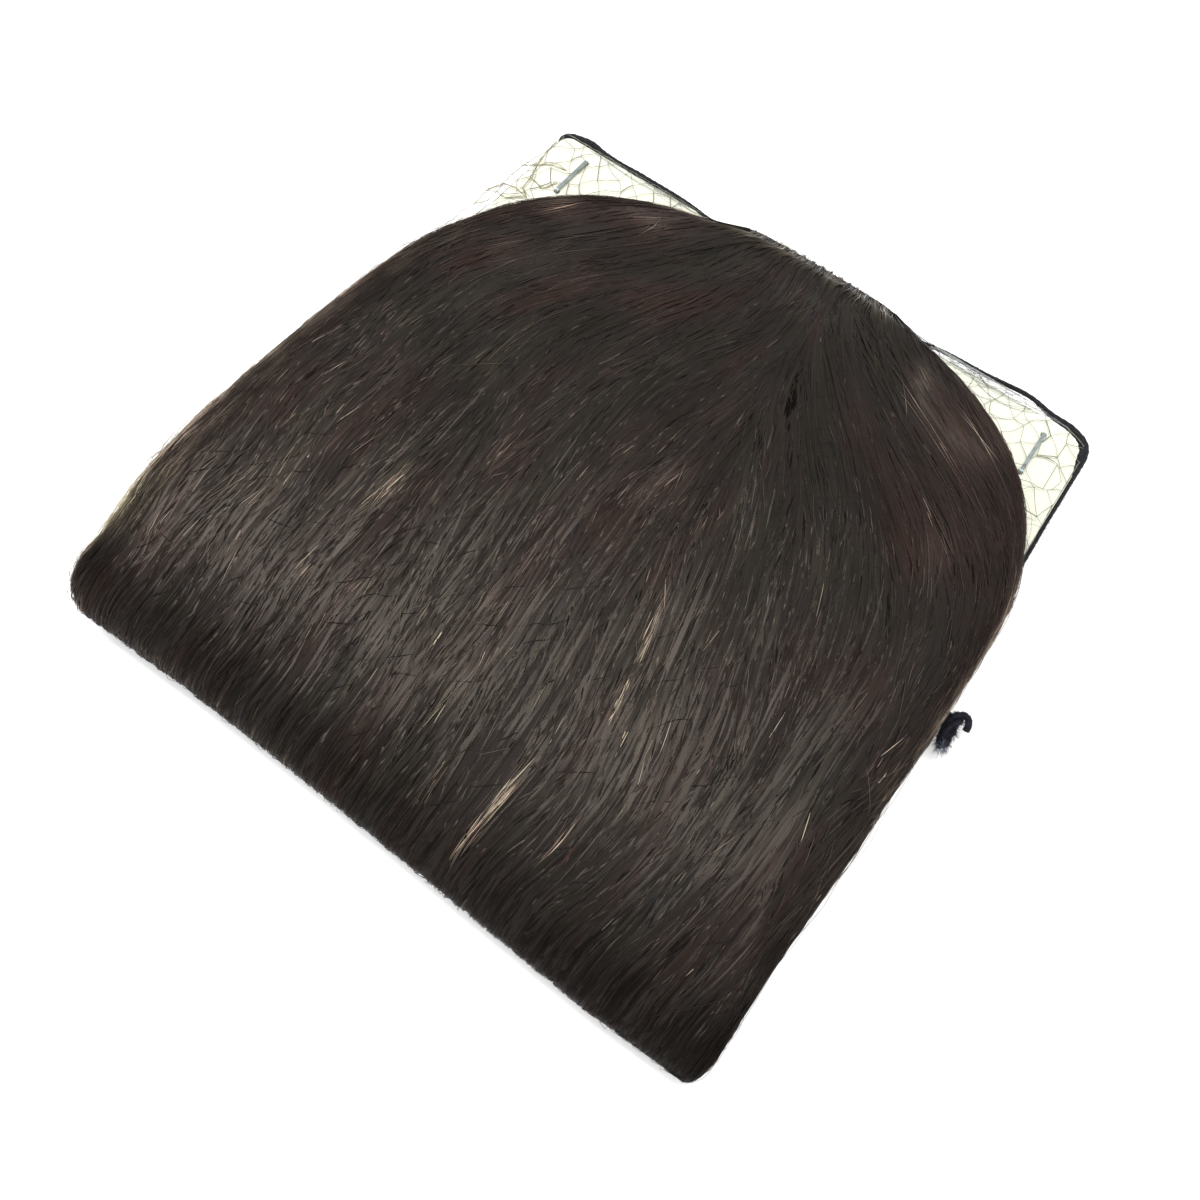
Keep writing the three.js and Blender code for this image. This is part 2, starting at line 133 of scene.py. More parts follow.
# The fan of the flow: hairs leave the band side by side and spread, the outer ones most, by a power of
# the share across at each height y. Lines start to the left of that and drift to the right on their way
# down
FLOW_CENTRE = 9.5
FLOW_Y = (-74.0, -64.0, -54.0, -40.0, -20.0, 0.0, 12.0, 25.0, 40.0, 55.0, 70.0, 77.0, 82.0)
FLOW_POWER = {
    -1: (1.0, 1.0, 1.0, 1.0, 1.0, 1.05, 1.1, 1.18, 1.42, 1.75, 1.8, 1.5, 1.15),
    1: (0.93, 0.85, 0.81, 0.86, 1.0, 1.19, 1.4, 1.83, 2.7, 4.0, 5.4, 4.8, 2.1),
}
FLOW_TOP = 3.0
FLOW_TOP_RUN = 30.0
FLOW_DRIFT = 8.0
DRIFT_FROM = 30.0
DRIFT_RUN = 95.0

# Hairs and threads stay this far above the table
FLOOR_CLEAR = 0.2
SEED = 7


def smooth(t):
    """Smooth step from 0 to 1."""
    t = np.clip(t, 0.0, 1.0)
    return t * t * (3 - 2 * t)


def rising(value, span):
    """Smooth step from 0 at a span's first value to 1 at its second."""
    return smooth((value - span[0]) / (span[1] - span[0]))


def bell(x, y, at_x, at_y, reach):
    """Bell curve of the distance from a place, 1 at the place itself."""
    return np.exp(-((x - at_x) ** 2 + (y - at_y) ** 2) / reach**2)


def side_of(v):
    """-1 where v is negative, left of the flow's centre line, and 1 elsewhere."""
    return np.where(v < 0, -1.0, 1.0)


def rows_at(rows, y):
    """A table's columns at height y, with neighbouring rows joined by a smooth step."""
    table = np.array(sorted(rows))
    low = np.clip(np.searchsorted(table[:, 0], y) - 1, 0, len(table) - 2)
    share = smooth((y - table[low, 0]) / (table[low + 1, 0] - table[low, 0]))[..., None]
    return np.moveaxis(table[low, 1:] * (1 - share) + table[low + 1, 1:] * share, -1, 0)


def on_side(table, side, make):
    """make() of a pair's left value where side is negative and of its right value elsewhere."""
    return np.where(side < 0, make(table[-1]), make(table[1]))


def dome(half, rise, power, height):
    """Half width of a superellipse dome, at a height above its shoulder."""
    share = np.clip(height / rise, 0.0, 1.0)
    return half * (1 - share**power) ** (1 / power)


class Station:
    """Sizes of the hair's cross section at distances run q, on the side whose sign is given."""

    def __init__(self, q, side):
        q, side = np.broadcast_arrays(np.asarray(q, float), np.asarray(side, float))
        self.behind = q > FRONT_RUN + FOLD_RUN / 2
        self.turn = np.clip((q - FRONT_RUN) / FOLD_RUN, 0.0, 1.0) * math.pi
        front_y = np.clip(HAIR_TOP - q, CARD_BOTTOM, HAIR_TOP)
        back_y = CARD_BOTTOM + np.clip(q - FRONT_RUN - FOLD_RUN, 0.0, None)
        self.y = np.where(self.behind, back_y, front_y)
        front = rows_at(FRONT_ROWS, front_y)
        back = rows_at(BACK_ROWS, back_y)
        columns = np.where(self.behind, back, front)
        self.under, self.over, self.crown, self.roll, self.loose = columns
        high = front_y - FAN_SHOULDER
        fan = on_side(FAN_POWER, side, lambda power: dome(FAN_HALF, FAN_RISE, power, high))
        fan = np.maximum(fan, on_side(BAND_REACH, side, lambda reach: reach + 0 * q))
        taper_by = on_side(FAN_TAPER, side, lambda less: less + 0 * q)
        fan = fan - taper_by * smooth(high / (CARD_BOTTOM - FAN_SHOULDER))
        bulge = BULGE * rising(front_y, BULGE_GROWS) * rising(front_y, BULGE_ENDS)
        bulge = bulge * (1 - smooth((back_y - CARD_BOTTOM) / BULGE_BACK))
        flap = dome(FAN_HALF - taper_by, FLAP_RISE, FLAP_POWER, back_y - FLAP_SHOULDER)
        self.half = np.where(self.behind, flap, fan) + np.where(side < 0, bulge, 0.0)
        self.reach = self.half - side * FLOW_CENTRE
        crisp = smooth((CRISP_FROM - front_y) / CRISP_RUN)
        crisp = crisp * (1 - smooth((back_y - CARD_BOTTOM) / CRISP_RUN))
        self.roll = self.roll * (1 - CRISP_LESS * np.where(side > 0, crisp, 0.0))
        self.roll = np.minimum(self.roll, ROLL_MOST * self.reach)
        self.depth = self.over - self.under
        self.flat = self.reach - self.roll
        self.bend = math.pi / 2 * np.sqrt((self.roll**2 + ((1 - TUCK_RISE) * self.depth) ** 2) / 2)
        self.tuck = np.hypot(TUCK_IN, TUCK_RISE * self.depth)
        self.arc = self.flat + self.bend + self.tuck


def half_arc(q, side):
    """Length across the outer face from the flow's centre line to the tucked edge on one side."""
    return Station(q, side).arc


def face_x(q, v):
    """x of places on the outer face at distance run q and share v across, as if it were laid flat."""
    return FLOW_CENTRE + v * half_arc(q, side_of(v))


def face_share(q, x):
    """Share across of places at such an x: the inverse of face_x."""
    off = x - FLOW_CENTRE
    return off / half_arc(q, side_of(off))


def hair_place(q, v):
    """Outer face of the hair at distance run q and share v across, -1 at the left edge and 1 at the right.

    Across, the face is flat as far as its roll, turns down a quarter ellipse and tucks in below. Along, it
    lies over the card, goes round the fold's ellipse and lies under the card.
    """
    side = side_of(v)
    at = Station(q, side)
    arc = np.abs(v) * at.arc
    angle = np.clip((arc - at.flat) / at.bend, 0.0, 1.0) * math.pi / 2
    tucked = np.clip((arc - at.flat - at.bend) / at.tuck, 0.0, 1.0)
    out = np.minimum(arc, at.flat) + at.roll * np.sin(angle) - TUCK_IN * tucked
    x = FLOW_CENTRE + side * out
    height = (TUCK_RISE + (1 - TUCK_RISE) * np.cos(angle)) * np.where(tucked > 0, 0.0, 1.0)
    height = height + np.where(tucked > 0, TUCK_RISE * (1 - tucked), 0.0)
    sideways = x / at.half
    loose = np.maximum(0.0, -sideways) ** 2
    shape = (at.loose * loose - at.crown * sideways**2) / at.depth * (1 - at.turn / math.pi)
    shape = shape + FOLD_LOOSE / FOLD_REACH * loose * np.sin(at.turn)
    height = height * (1 + shape)
    return folded(at, x, height)


def folded(at, x, height):
    """Places round the fold at x and at a share of the hair's thickness, 0 on the card's side, 1 outside."""
    front_z = CARD_FRONT + at.under + at.depth * height
    back_z = CARD_BACK - at.under - at.depth * height
    short = FOLD_SHORT * rising(x, FOLD_SHORT_X)
    inner = FOLD_INNER + (FOLD_REACH - short - FOLD_INNER) * height
    fold_y = CARD_BOTTOM - inner * np.sin(at.turn)
    rise = FOLD_INNER + (FOLD_HALF - FOLD_INNER) * height
    fold_z = CARD_MIDDLE + (FOLD_HALF - CARD_MIDDLE) * height + rise * np.cos(at.turn)
    in_fold = (at.turn > 0) & (at.turn < math.pi)
    y = np.where(in_fold, fold_y, at.y)
    z = np.where(in_fold, fold_z, np.where(at.behind, back_z, front_z))
    sink_from = SINK_FROM - SINK_LATER * rising(x, SINK_LATER_X)
    sunk = SINK_SHARE * np.clip((sink_from - y) / SINK_RUN, 0.0, 1.0) ** 2
    z = z - sunk * np.maximum(z - FOLD_HALF, 0.0)
    return np.stack(np.broadcast_arrays(x, y, z), -1)


def unit(vectors):
    """Vectors at length one."""
    return vectors / np.maximum(np.linalg.norm(vectors, axis=-1, keepdims=True), 1e-12)


def hair_normal(q, v):
    """Outward direction of the hair's face, from the cross product of small steps along and across it."""
    step_q, step_v = 0.3, 0.003
    along = hair_place(q + step_q, v) - hair_place(q - step_q, v)
    across = hair_place(q, np.minimum(v + step_v, 1)) - hair_place(q, np.maximum(v - step_v, -1))
    return unit(np.cross(along, across))


def through(x, places, values):
    """A smooth curve through a table of values: a cubic on each stretch, slopes from the neighbours."""
    places, values = np.array(places), np.array(values)
    slopes = np.gradient(values, places)
    i = np.clip(np.searchsorted(places, x) - 1, 0, len(places) - 2)
    wide = places[i + 1] - places[i]
    t = np.clip((x - places[i]) / wide, 0, 1)
    rise = smooth(t)
    bend = slopes[i] * t * (1 - t) ** 2 - slopes[i + 1] * t * t * (1 - t)
    return values[i] * (1 - rise) + values[i + 1] * rise + wide * bend


def flow_power(q, side):
    """Power that spreads the flow lines across the face at distance run q."""
    y = np.clip(HAIR_TOP - q, FLOW_Y[0], FLOW_Y[-1])
    return on_side(FLOW_POWER, side, lambda powers: through(y, FLOW_Y, powers))


def flow_drift(q, v):
    """Share across that the flow has drifted by at distance run q, none at the two edges."""
    side = side_of(v)
    slid = FLOW_DRIFT * smooth((q - HAIR_TOP + DRIFT_FROM) / DRIFT_RUN)
    slid = slid - FLOW_TOP * (1 - smooth(q / FLOW_TOP_RUN))
    return slid * (1 - v * v) / half_arc(q, side)


def flow_line(q, v):
    """The flow line through a place on the face: its share across where the hair falls straight."""
    home = v - flow_drift(q, v)
    side = side_of(home)
    return side * np.abs(home) ** (1 / flow_power(q, side))


def flow_place(q, line):
    """The share across at distance run q of a flow line."""
    side = side_of(line)
    home = side * np.abs(line) ** flow_power(q, side)
    return np.clip(home + flow_drift(q, home), -1, 1)


# Patchy values come from a grid of random numbers: its size, and where on it the flow's centre line lies
PATCH_GRID = 101
PATCH_SHIFT = 40


def patches(across, along, seed):
    """Smooth patchy values from -1 to 1: random numbers on a square grid, blended by smooth steps."""
    grid = np.random.default_rng(seed).uniform(-1, 1, (PATCH_GRID, PATCH_GRID))
    low_a, low_b = np.floor(across).astype(int), np.floor(along).astype(int)
    share_a, share_b = smooth(across - low_a), smooth(along - low_b)
    corner = [[grid[(low_a + i) % PATCH_GRID, (low_b + j) % PATCH_GRID] for j in (0, 1)] for i in (0, 1)]
    near = corner[0][0] * (1 - share_b) + corner[0][1] * share_b
    far = corner[1][0] * (1 - share_b) + corner[1][1] * share_b
    return near * (1 - share_a) + far * share_a


def flow_patches(line, run, cells, seed):
    """Patchy values along the flow: cells says how many lie across half the width and how long each is."""
    return patches(line * cells[0] + PATCH_SHIFT, run / cells[1], seed)


# Waves across the flow heap the hair in locks: how many waves lie in half the width, how fast their
# crests drift and how tall they are, then the height and cells of a slower swell, and the runs that all
# of it fades over at the band and before the flap
LOCK_COUNTS = (5.0, 8.0, 11.0, 15.0, 21.0, 27.0, 36.0)
LOCK_DRIFT = 0.012
LOCK_TALL = 0.3
LOCK_SWELL = 0.26
LOCK_CELLS = (12, 24)
LOCK_FADE = (14.0, 40.0)


def lock_waves():
    """The waves of the locks: how many in half the width, drift, phase and height."""
    rng = np.random.default_rng(SEED)
    count = np.array(LOCK_COUNTS)
    drift = rng.normal(0.0, LOCK_DRIFT, count.size)
    phase = rng.uniform(0, 2 * math.pi, count.size)
    height = LOCK_TALL / np.sqrt(count)
    return np.stack([count, drift, phase, height], 1)


LOCK_WAVES = lock_waves()


def lock_height(q, line):
    """Height of the locks over the plain face: sine waves across the flow with slowly drifting crests."""
    total = np.zeros(np.broadcast(q, line).shape)
    for count, drift, phase, height in LOCK_WAVES:
        total = total + height * np.sin(2 * math.pi * count * line + drift * q + phase)
    total = total + LOCK_SWELL * flow_patches(line, q, LOCK_CELLS, SEED + 4)
    return total * smooth(q / LOCK_FADE[0]) * smooth((BACK_START - q) / LOCK_FADE[1])


SCATTER_STEPS = 300


def scatter(count, low, high, rng):
    """Even scatter over the face between two distances run.

    The distance run comes from the inverse of the summed width, and the share across is random.
    """
    q = np.linspace(low, high, SCATTER_STEPS)
    total = np.cumsum(half_arc(q, -1.0) + half_arc(q, 1.0))
    picked = np.interp(rng.random(count), total / total[-1], q)
    left, right = half_arc(picked, -1.0), half_arc(picked, 1.0)
    place = rng.random(count) * (left + right) - left
    return picked, np.where(place < 0, place / left, place / right)


# Dark slits where locks part: distance run, place across in millimetres, half length and half width. The
# hairs beside a slit are pushed apart as far as this many half widths away
PARTINGS = (
    (42.0, 16.0, 10.0, 0.8),
    (58.0, 20.5, 6.0, 0.5),
    (96.0, -22.0, 8.0, 0.6),
    (70.0, -6.0, 7.0, 0.5),
)
PARTING_REACH = 3


def parted(run, v):
    """Sideways shift in millimetres that opens the partings: away from each slit, fading with distance."""
    across = face_x(run, v)
    shift = np.zeros(run.shape)
    for q, x, length, width in PARTINGS:
        off = across - x
        near = np.exp(-(((run - q) / length) ** 2) - (off / (PARTING_REACH * width)) ** 2)
        shift = shift + np.where(off < 0, -width, width) * near
    return shift


# Places where the hairs lie turned from the flow: x, y, reach, and how far right they go for each
# millimetre down
TURNS = (
    (50.0, 47.0, 15.0, 0.85),
    (19.0, 12.0, 15.0, -0.26),
    (-20.0, 42.0, 20.0, 0.2),
    (-55.0, 14.0, 15.0, 0.14),
    (66.0, -16.0, 16.0, -0.22),
    (62.0, -46.0, 16.0, -0.22),
)


def turned(q, v):
    """How far hairs at places on the face go right for each millimetre down, beyond the flow."""
    x = face_x(q, v)
    total = np.zeros(q.shape)
    for turn_x, turn_y, reach, turn in TURNS:
        total = total + turn * bell(x, HAIR_TOP - q, turn_x, turn_y, reach)
    return total


# Lengths of the two slow waves in a hair, and the cells of the lean that neighbours share
WAVE_LENGTHS = (55.0, 21.0)
STIR_CELLS = (14, 12)


def comb(q, v, before, after, steps, rng, lean, wave, stir=0.0, open_by=1.0):
    """Lines of hairs through seeds on the face: each keeps to its flow line, with a lean and two slow waves.

    Neighbours share part of their lean and their turn, and the partings push the lines apart.
    """
    count = len(q)
    t = np.linspace(0, 1, steps)
    start = np.maximum(q - before, 0.0)
    stop = np.minimum(q + after, FULL_RUN)
    run = start[:, None] + (stop - start)[:, None] * t
    line = flow_line(q, v)[:, None]
    place = flow_place(run, line)
    wide = half_arc(run, side_of(place))
    shared = turned(q, v) + stir * flow_patches(line[:, 0], q, STIR_CELLS, SEED + 5)
    sway = (rng.normal(0, lean, count) + shared)[:, None] * (run - q[:, None])
    for length in WAVE_LENGTHS:
        phase = rng.uniform(0, 2 * math.pi, count)[:, None]
        tall = rng.normal(0, wave * length / WAVE_LENGTHS[0], count)[:, None]
        sway = sway + tall * np.sin(2 * math.pi * run / length + phase)
    place = np.clip(place + sway / wide, -1, 1)
    place = place + open_by * parted(run, place) / wide
    return run, np.clip(place, -1, 1), line, t


def above_floor(places):
    """Places, with those that would reach the table lifted clear of it."""
    places[..., 2] = np.maximum(places[..., 2], FLOOR_CLEAR)
    return places


# Share of a hair's length at each end that dives
DIVE_SHARE = 0.16


def hair_lines(run, v, line, t, lift, dive):
    """Places and outward directions along hairs, at a lift over the locks, that dive under at both ends."""
    ends = np.maximum(smooth(1 - t / DIVE_SHARE), smooth(1 - (1 - t) / DIVE_SHARE))
    up = hair_normal(run, v)
    tall = lift + lock_height(run, line) - dive * ends
    return above_floor(hair_place(run, v) + up * tall[..., None]), up


def tubes(lines, ups, width, height, sides=3, lean=0.0, tilt=0.0):
    """Closed tubes along many lines at once.

    Each ring holds points evenly round an ellipse with these half sizes, square to its line, and a flat face
    closes each end. Returns the points, the faces and the normals, which lean from the tube's own towards up
    and tilt along the line.
    """
    count, steps = lines.shape[:2]
    along = unit(np.gradient(lines, axis=1))
    across = unit(np.cross(ups, along))
    up = np.cross(along, across)
    angle = np.linspace(0, 2 * math.pi, sides, endpoint=False) + math.pi / 2
    wide, tall = np.cos(angle)[:, None], np.sin(angle)[:, None]
    wide_by, tall_by = width[..., None, None], height[..., None, None]
    points = lines[:, :, None] + wide * wide_by * across[:, :, None] + tall * tall_by * up[:, :, None]
    normals = unit(wide * tall_by * across[:, :, None] + tall * wide_by * up[:, :, None])
    tilted = along[:, :, None] * np.asarray(tilt)[..., None, None]
    lean = np.asarray(lean)[..., None, None]
    normals = unit(normals * (1 - lean) + up[:, :, None] * lean + tilted)
    index = np.arange(count * steps * sides).reshape(count, steps, sides)
    after = np.roll(index, -1, axis=2)
    walls = np.stack([index[:, :-1], after[:, :-1], after[:, 1:], index[:, 1:]], -1).reshape(-1, 4)
    caps = np.concatenate([index[:, 0, ::-1], index[:, -1]])
    return points.reshape(-1, 3), [walls, caps], normals.reshape(-1, 3)


def taper(t, thin_start=0.25, thin_end=0.25, least=0.12):
    """Share of a hair's full thickness along it, thin at both ends."""
    grow = np.minimum(smooth(t / thin_start), smooth((1 - t) / thin_end))
    return least + (1 - least) * grow


UPWARD = np.array([0.0, 0.0, 1.0])


def round_tubes(lines, size, sides=3):
    """Closed tubes of one half size each along lines that lie flat."""
    return tubes(lines, np.broadcast_to(UPWARD, lines.shape), size, size, sides)


# The palette of the hair's colours: the map that holds its places, how far a ring's places are spread so
# that the map has an area, and the ends of its range
PALETTE_MAP = "OFBake"
PALETTE_SPREAD = 0.003
PALETTE_ENDS = (0.01, 0.99)


def palette_places(shade, tint, sides=3):
    """Places on the palette for tubes: across by shade, up by tint, spread a little round each ring."""
    angle = np.linspace(0, 2 * math.pi, sides, endpoint=False)
    u = np.clip(shade, *PALETTE_ENDS)[..., None] + PALETTE_SPREAD * np.cos(angle)
    w = np.clip(tint, *PALETTE_ENDS)[..., None] + PALETTE_SPREAD * np.sin(angle)
    return np.stack(np.broadcast_arrays(u, w), -1).reshape(-1, 2)


def piece(name, shape, finish, palette=None, replaces=()):
    """A mesh piece that rides on the part, from points in card millimetres, faces and maybe normals."""
    points, faces = shape[:2]
    mesh = bpy.data.meshes.new(name)
    corners = np.concatenate([face.ravel() for face in faces]).astype(np.int32)
    sizes = np.concatenate([np.full(len(face), face.shape[1]) for face in faces])
    starts = np.concatenate([[0], np.cumsum(sizes)[:-1]]).astype(np.int32)
    mesh.vertices.add(len(points))
    mesh.vertices.foreach_set("co", ((points + ORIGIN) * MM).astype(np.float32).ravel())
    mesh.loops.add(len(corners))
    mesh.loops.foreach_set("vertex_index", corners)
    mesh.polygons.add(len(sizes))
    mesh.polygons.foreach_set("loop_start", starts)
    if palette is not None:
        layer = mesh.uv_layers.new(name=PALETTE_MAP)
        layer.uv.foreach_set("vector", palette[corners].astype(np.float32).ravel())
    mesh.update(calc_edges=True)
    mesh.validate()
    mesh.shade_smooth()
    if len(shape) > 2:
        mesh.normals_split_custom_set_from_vertices(shape[2].astype(np.float32))
    mesh.materials.append(finish)
    made = bpy.data.objects.new(name, mesh)
    bpy.context.scene.collection.objects.link(made)
    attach(made, "root")
    if replaces:
        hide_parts(*replaces)


def joined(shapes):
    """Several shapes, each points, faces and normals, as one."""
    starts = np.cumsum([0] + [len(shape[0]) for shape in shapes[:-1]])
    by_size = {}
    for start, shape in zip(starts, shapes):
        for face in shape[1]:
            by_size.setdefault(face.shape[1], []).append(face + start)
    faces = [np.concatenate(group) for group in by_size.values()]
    return np.concatenate([s[0] for s in shapes]), faces, np.concatenate([s[2] for s in shapes])


# Finishes

class Wire:
    """A node's output that takes part in Python arithmetic, where each operation adds a Math node."""

    def __init__(self, finish, socket):
        self.finish = finish
        self.socket = socket

    def math(self, operation, *values):
        return self.finish.node("ShaderNodeMath", {"operation": operation}, dict(enumerate(values)))

    def __add__(self, other):
        return self.math("ADD", self, other)

    def __sub__(self, other):
        return self.math("SUBTRACT", self, other)

    def __rsub__(self, other):
        return self.math("SUBTRACT", other, self)

    def __mul__(self, other):
        return self.math("MULTIPLY", self, other)

    __radd__ = __add__
    __rmul__ = __mul__


class Finish:
    """A material whose nodes are added by one method, round a Principled shader with its constants set."""

    def __init__(self, name, **constants):
        self.material = bpy.data.materials.new(name)
        self.material.use_nodes = True
        self.tree = self.material.node_tree
        self.tree.nodes.clear()
        self.shader = self.tree.nodes.new("ShaderNodeBsdfPrincipled")
        output = self.tree.nodes.new("ShaderNodeOutputMaterial")
        self.tree.links.new(self.shader.outputs[0], output.inputs["Surface"])
        for key, value in constants.items():
            self.shader.inputs[key.replace("_", " ").title().replace("Ior", "IOR")].default_value = value

    def node(self, kind, settings, sockets, output=0):
        made = self.tree.nodes.new(kind)
        for key, value in settings.items():
            if key == "stops":
                self.set_stops(made.color_ramp, value)
            else:
                setattr(made, key, value)
        for key, value in sockets.items():
            self.feed(made.inputs[key], value)
        return Wire(self, made.outputs[output])

    def set_stops(self, ramp, stops):
        while len(ramp.elements) < len(stops):
            ramp.elements.new(0.5)
        for element, (position, colour) in zip(ramp.elements, stops):
            element.position = position
            element.color = (*colour, 1.0)

    def feed(self, socket, value):
        if isinstance(value, Wire):
            self.tree.links.new(value.socket, socket)
        else:
            socket.default_value = value

    def wear(self, **sockets):
        for key, value in sockets.items():
            self.feed(self.shader.inputs[key.replace("_", " ").title()], value)
        return self.material

    def place(self, stretch=(1.0, 1.0, 1.0)):
        """Object coordinates in millimetres, stretched."""
        at = self.node("ShaderNodeTexCoord", {}, {}, "Object")
        scale = tuple(factor / MM for factor in stretch)
        return self.node("ShaderNodeMapping", {}, {"Vector": at, "Scale": scale})

    def noise(self, at, scale, detail=2.0, rough=0.5):
        values = {"Vector": at, "Scale": scale, "Detail": detail, "Roughness": rough}
        return self.node("ShaderNodeTexNoise", {}, values)

    def ramp(self, value, stops):
        return self.node("ShaderNodeValToRGB", {"stops": stops}, {0: value})

    def two_tone(self, value, dark, pale, low=0.3, high=0.7):
        """A colour that goes from a dark tone at a low value to a pale tone at a high one."""
        return self.ramp(value, ((low, dark), (high, pale)))

    def multiply(self, one, other):
        """The product of two colours."""
        settings = {"data_type": "RGBA", "blend_type": "MULTIPLY"}
        return self.node("ShaderNodeMix", settings, {0: 1.0, 6: one, 7: other}, 2)

    def bump(self, height, strength, distance):
        values = {"Height": height, "Strength": strength, "Distance": distance * MM}
        return self.node("ShaderNodeBump", {}, values)


# The hair's palette: colours by shade, and what a tint multiplies them by
HAIR_SHADES = (
    (0.00, (0.0042, 0.0035, 0.0033)),
    (0.25, (0.0106, 0.0089, 0.0084)),
    (0.45, (0.0171, 0.0144, 0.0137)),
    (0.65, (0.0350, 0.0288, 0.0262)),
    (0.80, (0.0850, 0.0670, 0.0580)),
    (0.90, (0.1900, 0.1520, 0.1250)),
    (1.00, (0.5500, 0.4700, 0.3800)),
)
HAIR_TINTS = (
    (0.00, (1.34, 0.92, 0.80)),
    (0.35, (1.04, 1.0, 0.99)),
    (0.65, (1.0, 1.06, 0.82)),
    (1.00, (0.84, 1.0, 1.24)),
)
# Colour of the hair's gloss, and its roughness, which falls as the shade grows
HAIR_GLOSS = (1.0, 0.85, 0.73, 1.0)
HAIR_ROUGH = 0.33
HAIR_SMOOTHER = 0.1


def hair_finish(name, gloss):
    """Hair by the palette: shade across it and tint up it, with a warm gloss."""
    finish = Finish(name, specular_ior_level=gloss, specular_tint=HAIR_GLOSS)
    at = finish.node("ShaderNodeUVMap", {"uv_map": PALETTE_MAP}, {})
    shade = finish.node("ShaderNodeSeparateXYZ", {}, {0: at}, "X")
    tint = finish.node("ShaderNodeSeparateXYZ", {}, {0: at}, "Y")
    colour = finish.multiply(finish.ramp(shade, HAIR_SHADES), finish.ramp(tint, HAIR_TINTS))
    return finish.wear(base_color=colour, roughness=HAIR_ROUGH - HAIR_SMOOTHER * shade)


HAIR = hair_finish("hair", gloss=0.16)
HAIR_DULL = hair_finish("hair_dull", gloss=0.06)

# Dark and pale tone of each plain finish
BELOW_TONES = ((0.0100, 0.0084, 0.0079), (0.0180, 0.0151, 0.0142))
CARD_TONES = ((0.79, 0.795, 0.66), (0.83, 0.835, 0.715))
CARD_FIBRE_TONES = ((0.97, 0.97, 0.96), (1.0, 1.0, 1.0))
FLOOR_TONES = ((0.90, 0.90, 0.90), (0.92, 0.92, 0.92))
# Dark and pale tone and roughness of each thread
THREADS = {
    "band": ((0.03, 0.027, 0.026), (0.10, 0.092, 0.085), 0.8),
    "stitch_thread": ((0.08, 0.075, 0.07), (0.26, 0.245, 0.225), 0.85),
    "band_fuzz": ((0.13, 0.125, 0.12), (0.40, 0.39, 0.375), 0.85),
    "net_thread": ((0.15, 0.146, 0.11), (0.34, 0.33, 0.26), 0.7),
    "net_thread_fine": ((0.34, 0.36, 0.35), (0.55, 0.57, 0.55), 0.7),
    "net_thread_olive": ((0.30, 0.27, 0.15), (0.50, 0.46, 0.30), 0.7),
    "net_thread_dark": ((0.006, 0.0055, 0.0055), (0.014, 0.013, 0.013), 0.8),
    "elastic": ((0.004, 0.0045, 0.006), (0.018, 0.019, 0.024), 0.8),
    "elastic_knot": ((0.004, 0.004, 0.008), (0.016, 0.016, 0.028), 0.85),
    "elastic_fray": ((0.05, 0.055, 0.075), (0.30, 0.32, 0.40), 0.85),
}
# Dark and pale tone of each steel, and its least roughness
STEELS = {
    "staple_steel": ((0.30, 0.35, 0.35), (0.46, 0.51, 0.51), 0.4),
    "clip_steel": ((0.03, 0.03, 0.032), (0.06, 0.06, 0.064), 0.4),
}


def under_finish():
    """The hair below the single hairs: streaks along the fall in the hairs' own colours."""
    finish = Finish("hair_below", specular_ior_level=0.12, specular_tint=HAIR_GLOSS)
    streak = finish.noise(finish.place((1.6, 0.05, 0.5)), scale=1.0, detail=3.0, rough=0.6)
    ridge = finish.bump(streak, strength=0.5, distance=0.3)
    colour = finish.two_tone(streak, *BELOW_TONES)
    return finish.wear(base_color=colour, roughness=0.45 + 0.15 * streak, normal=ridge)


def thread_finish(name):
    """Spun thread or elastic: tone that changes along it in short flecks, over fine ribs."""
    dark, pale, rough = THREADS[name]
    finish = Finish(name, specular_ior_level=0.3)
    fleck = finish.noise(finish.place(), scale=1.3, detail=3.0)
    ribs = finish.bump(finish.noise(finish.place(), scale=5.0), strength=0.5, distance=0.15)
    colour = finish.two_tone(fleck, dark, pale, low=0.35)
    return finish.wear(base_color=colour, roughness=rough, normal=ribs)


def card_finish():
    """Cream card: faint mottling, fine fibres and a slightly rough face."""
    finish = Finish("card", specular_ior_level=0.3)
    mottle = finish.noise(finish.place(), scale=0.06, detail=4.0)
    fibre = finish.noise(finish.place(), scale=2.2, detail=4.0, rough=0.7)
    colour = finish.multiply(finish.two_tone(mottle, *CARD_TONES), finish.two_tone(fibre, *CARD_FIBRE_TONES))
    grain = finish.bump(fibre, strength=0.15, distance=0.05)
    return finish.wear(base_color=colour, roughness=0.75 + 0.15 * fibre, normal=grain)


def steel_finish(name):
    """Drawn steel: fine lines and small dull patches."""
    dark, pale, rough = STEELS[name]
    finish = Finish(name, metallic=1.0)
    line = finish.noise(finish.place((6.0, 0.6, 6.0)), scale=1.0, detail=3.0)
    patch = finish.noise(finish.place(), scale=0.8)
    colour = finish.two_tone(patch, dark, pale)
    drawn = finish.bump(line, strength=0.2, distance=0.04)
    return finish.wear(base_color=colour, roughness=rough + 0.15 * line, normal=drawn)


def floor_finish():
    """Plain pale floor with the least unevenness."""
    finish = Finish("floor", specular_ior_level=0.2, emission_strength=0.32)
    colour = finish.two_tone(finish.noise(finish.place(), scale=0.004), *FLOOR_TONES)
    return finish.wear(base_color=colour, roughness=0.8, emission_color=colour)


# Hair pieces

# The form below the single hairs: how far it is sunk under their face, its points along, across and over
# its under side, the share of the width at each edge where it isn't sunk, and how far in its end
# directions are taken
BELOW_SUNK = 0.15
BELOW_POINTS = (200, 113, 12)
BELOW_RIM = 0.06
BELOW_END = 0.4


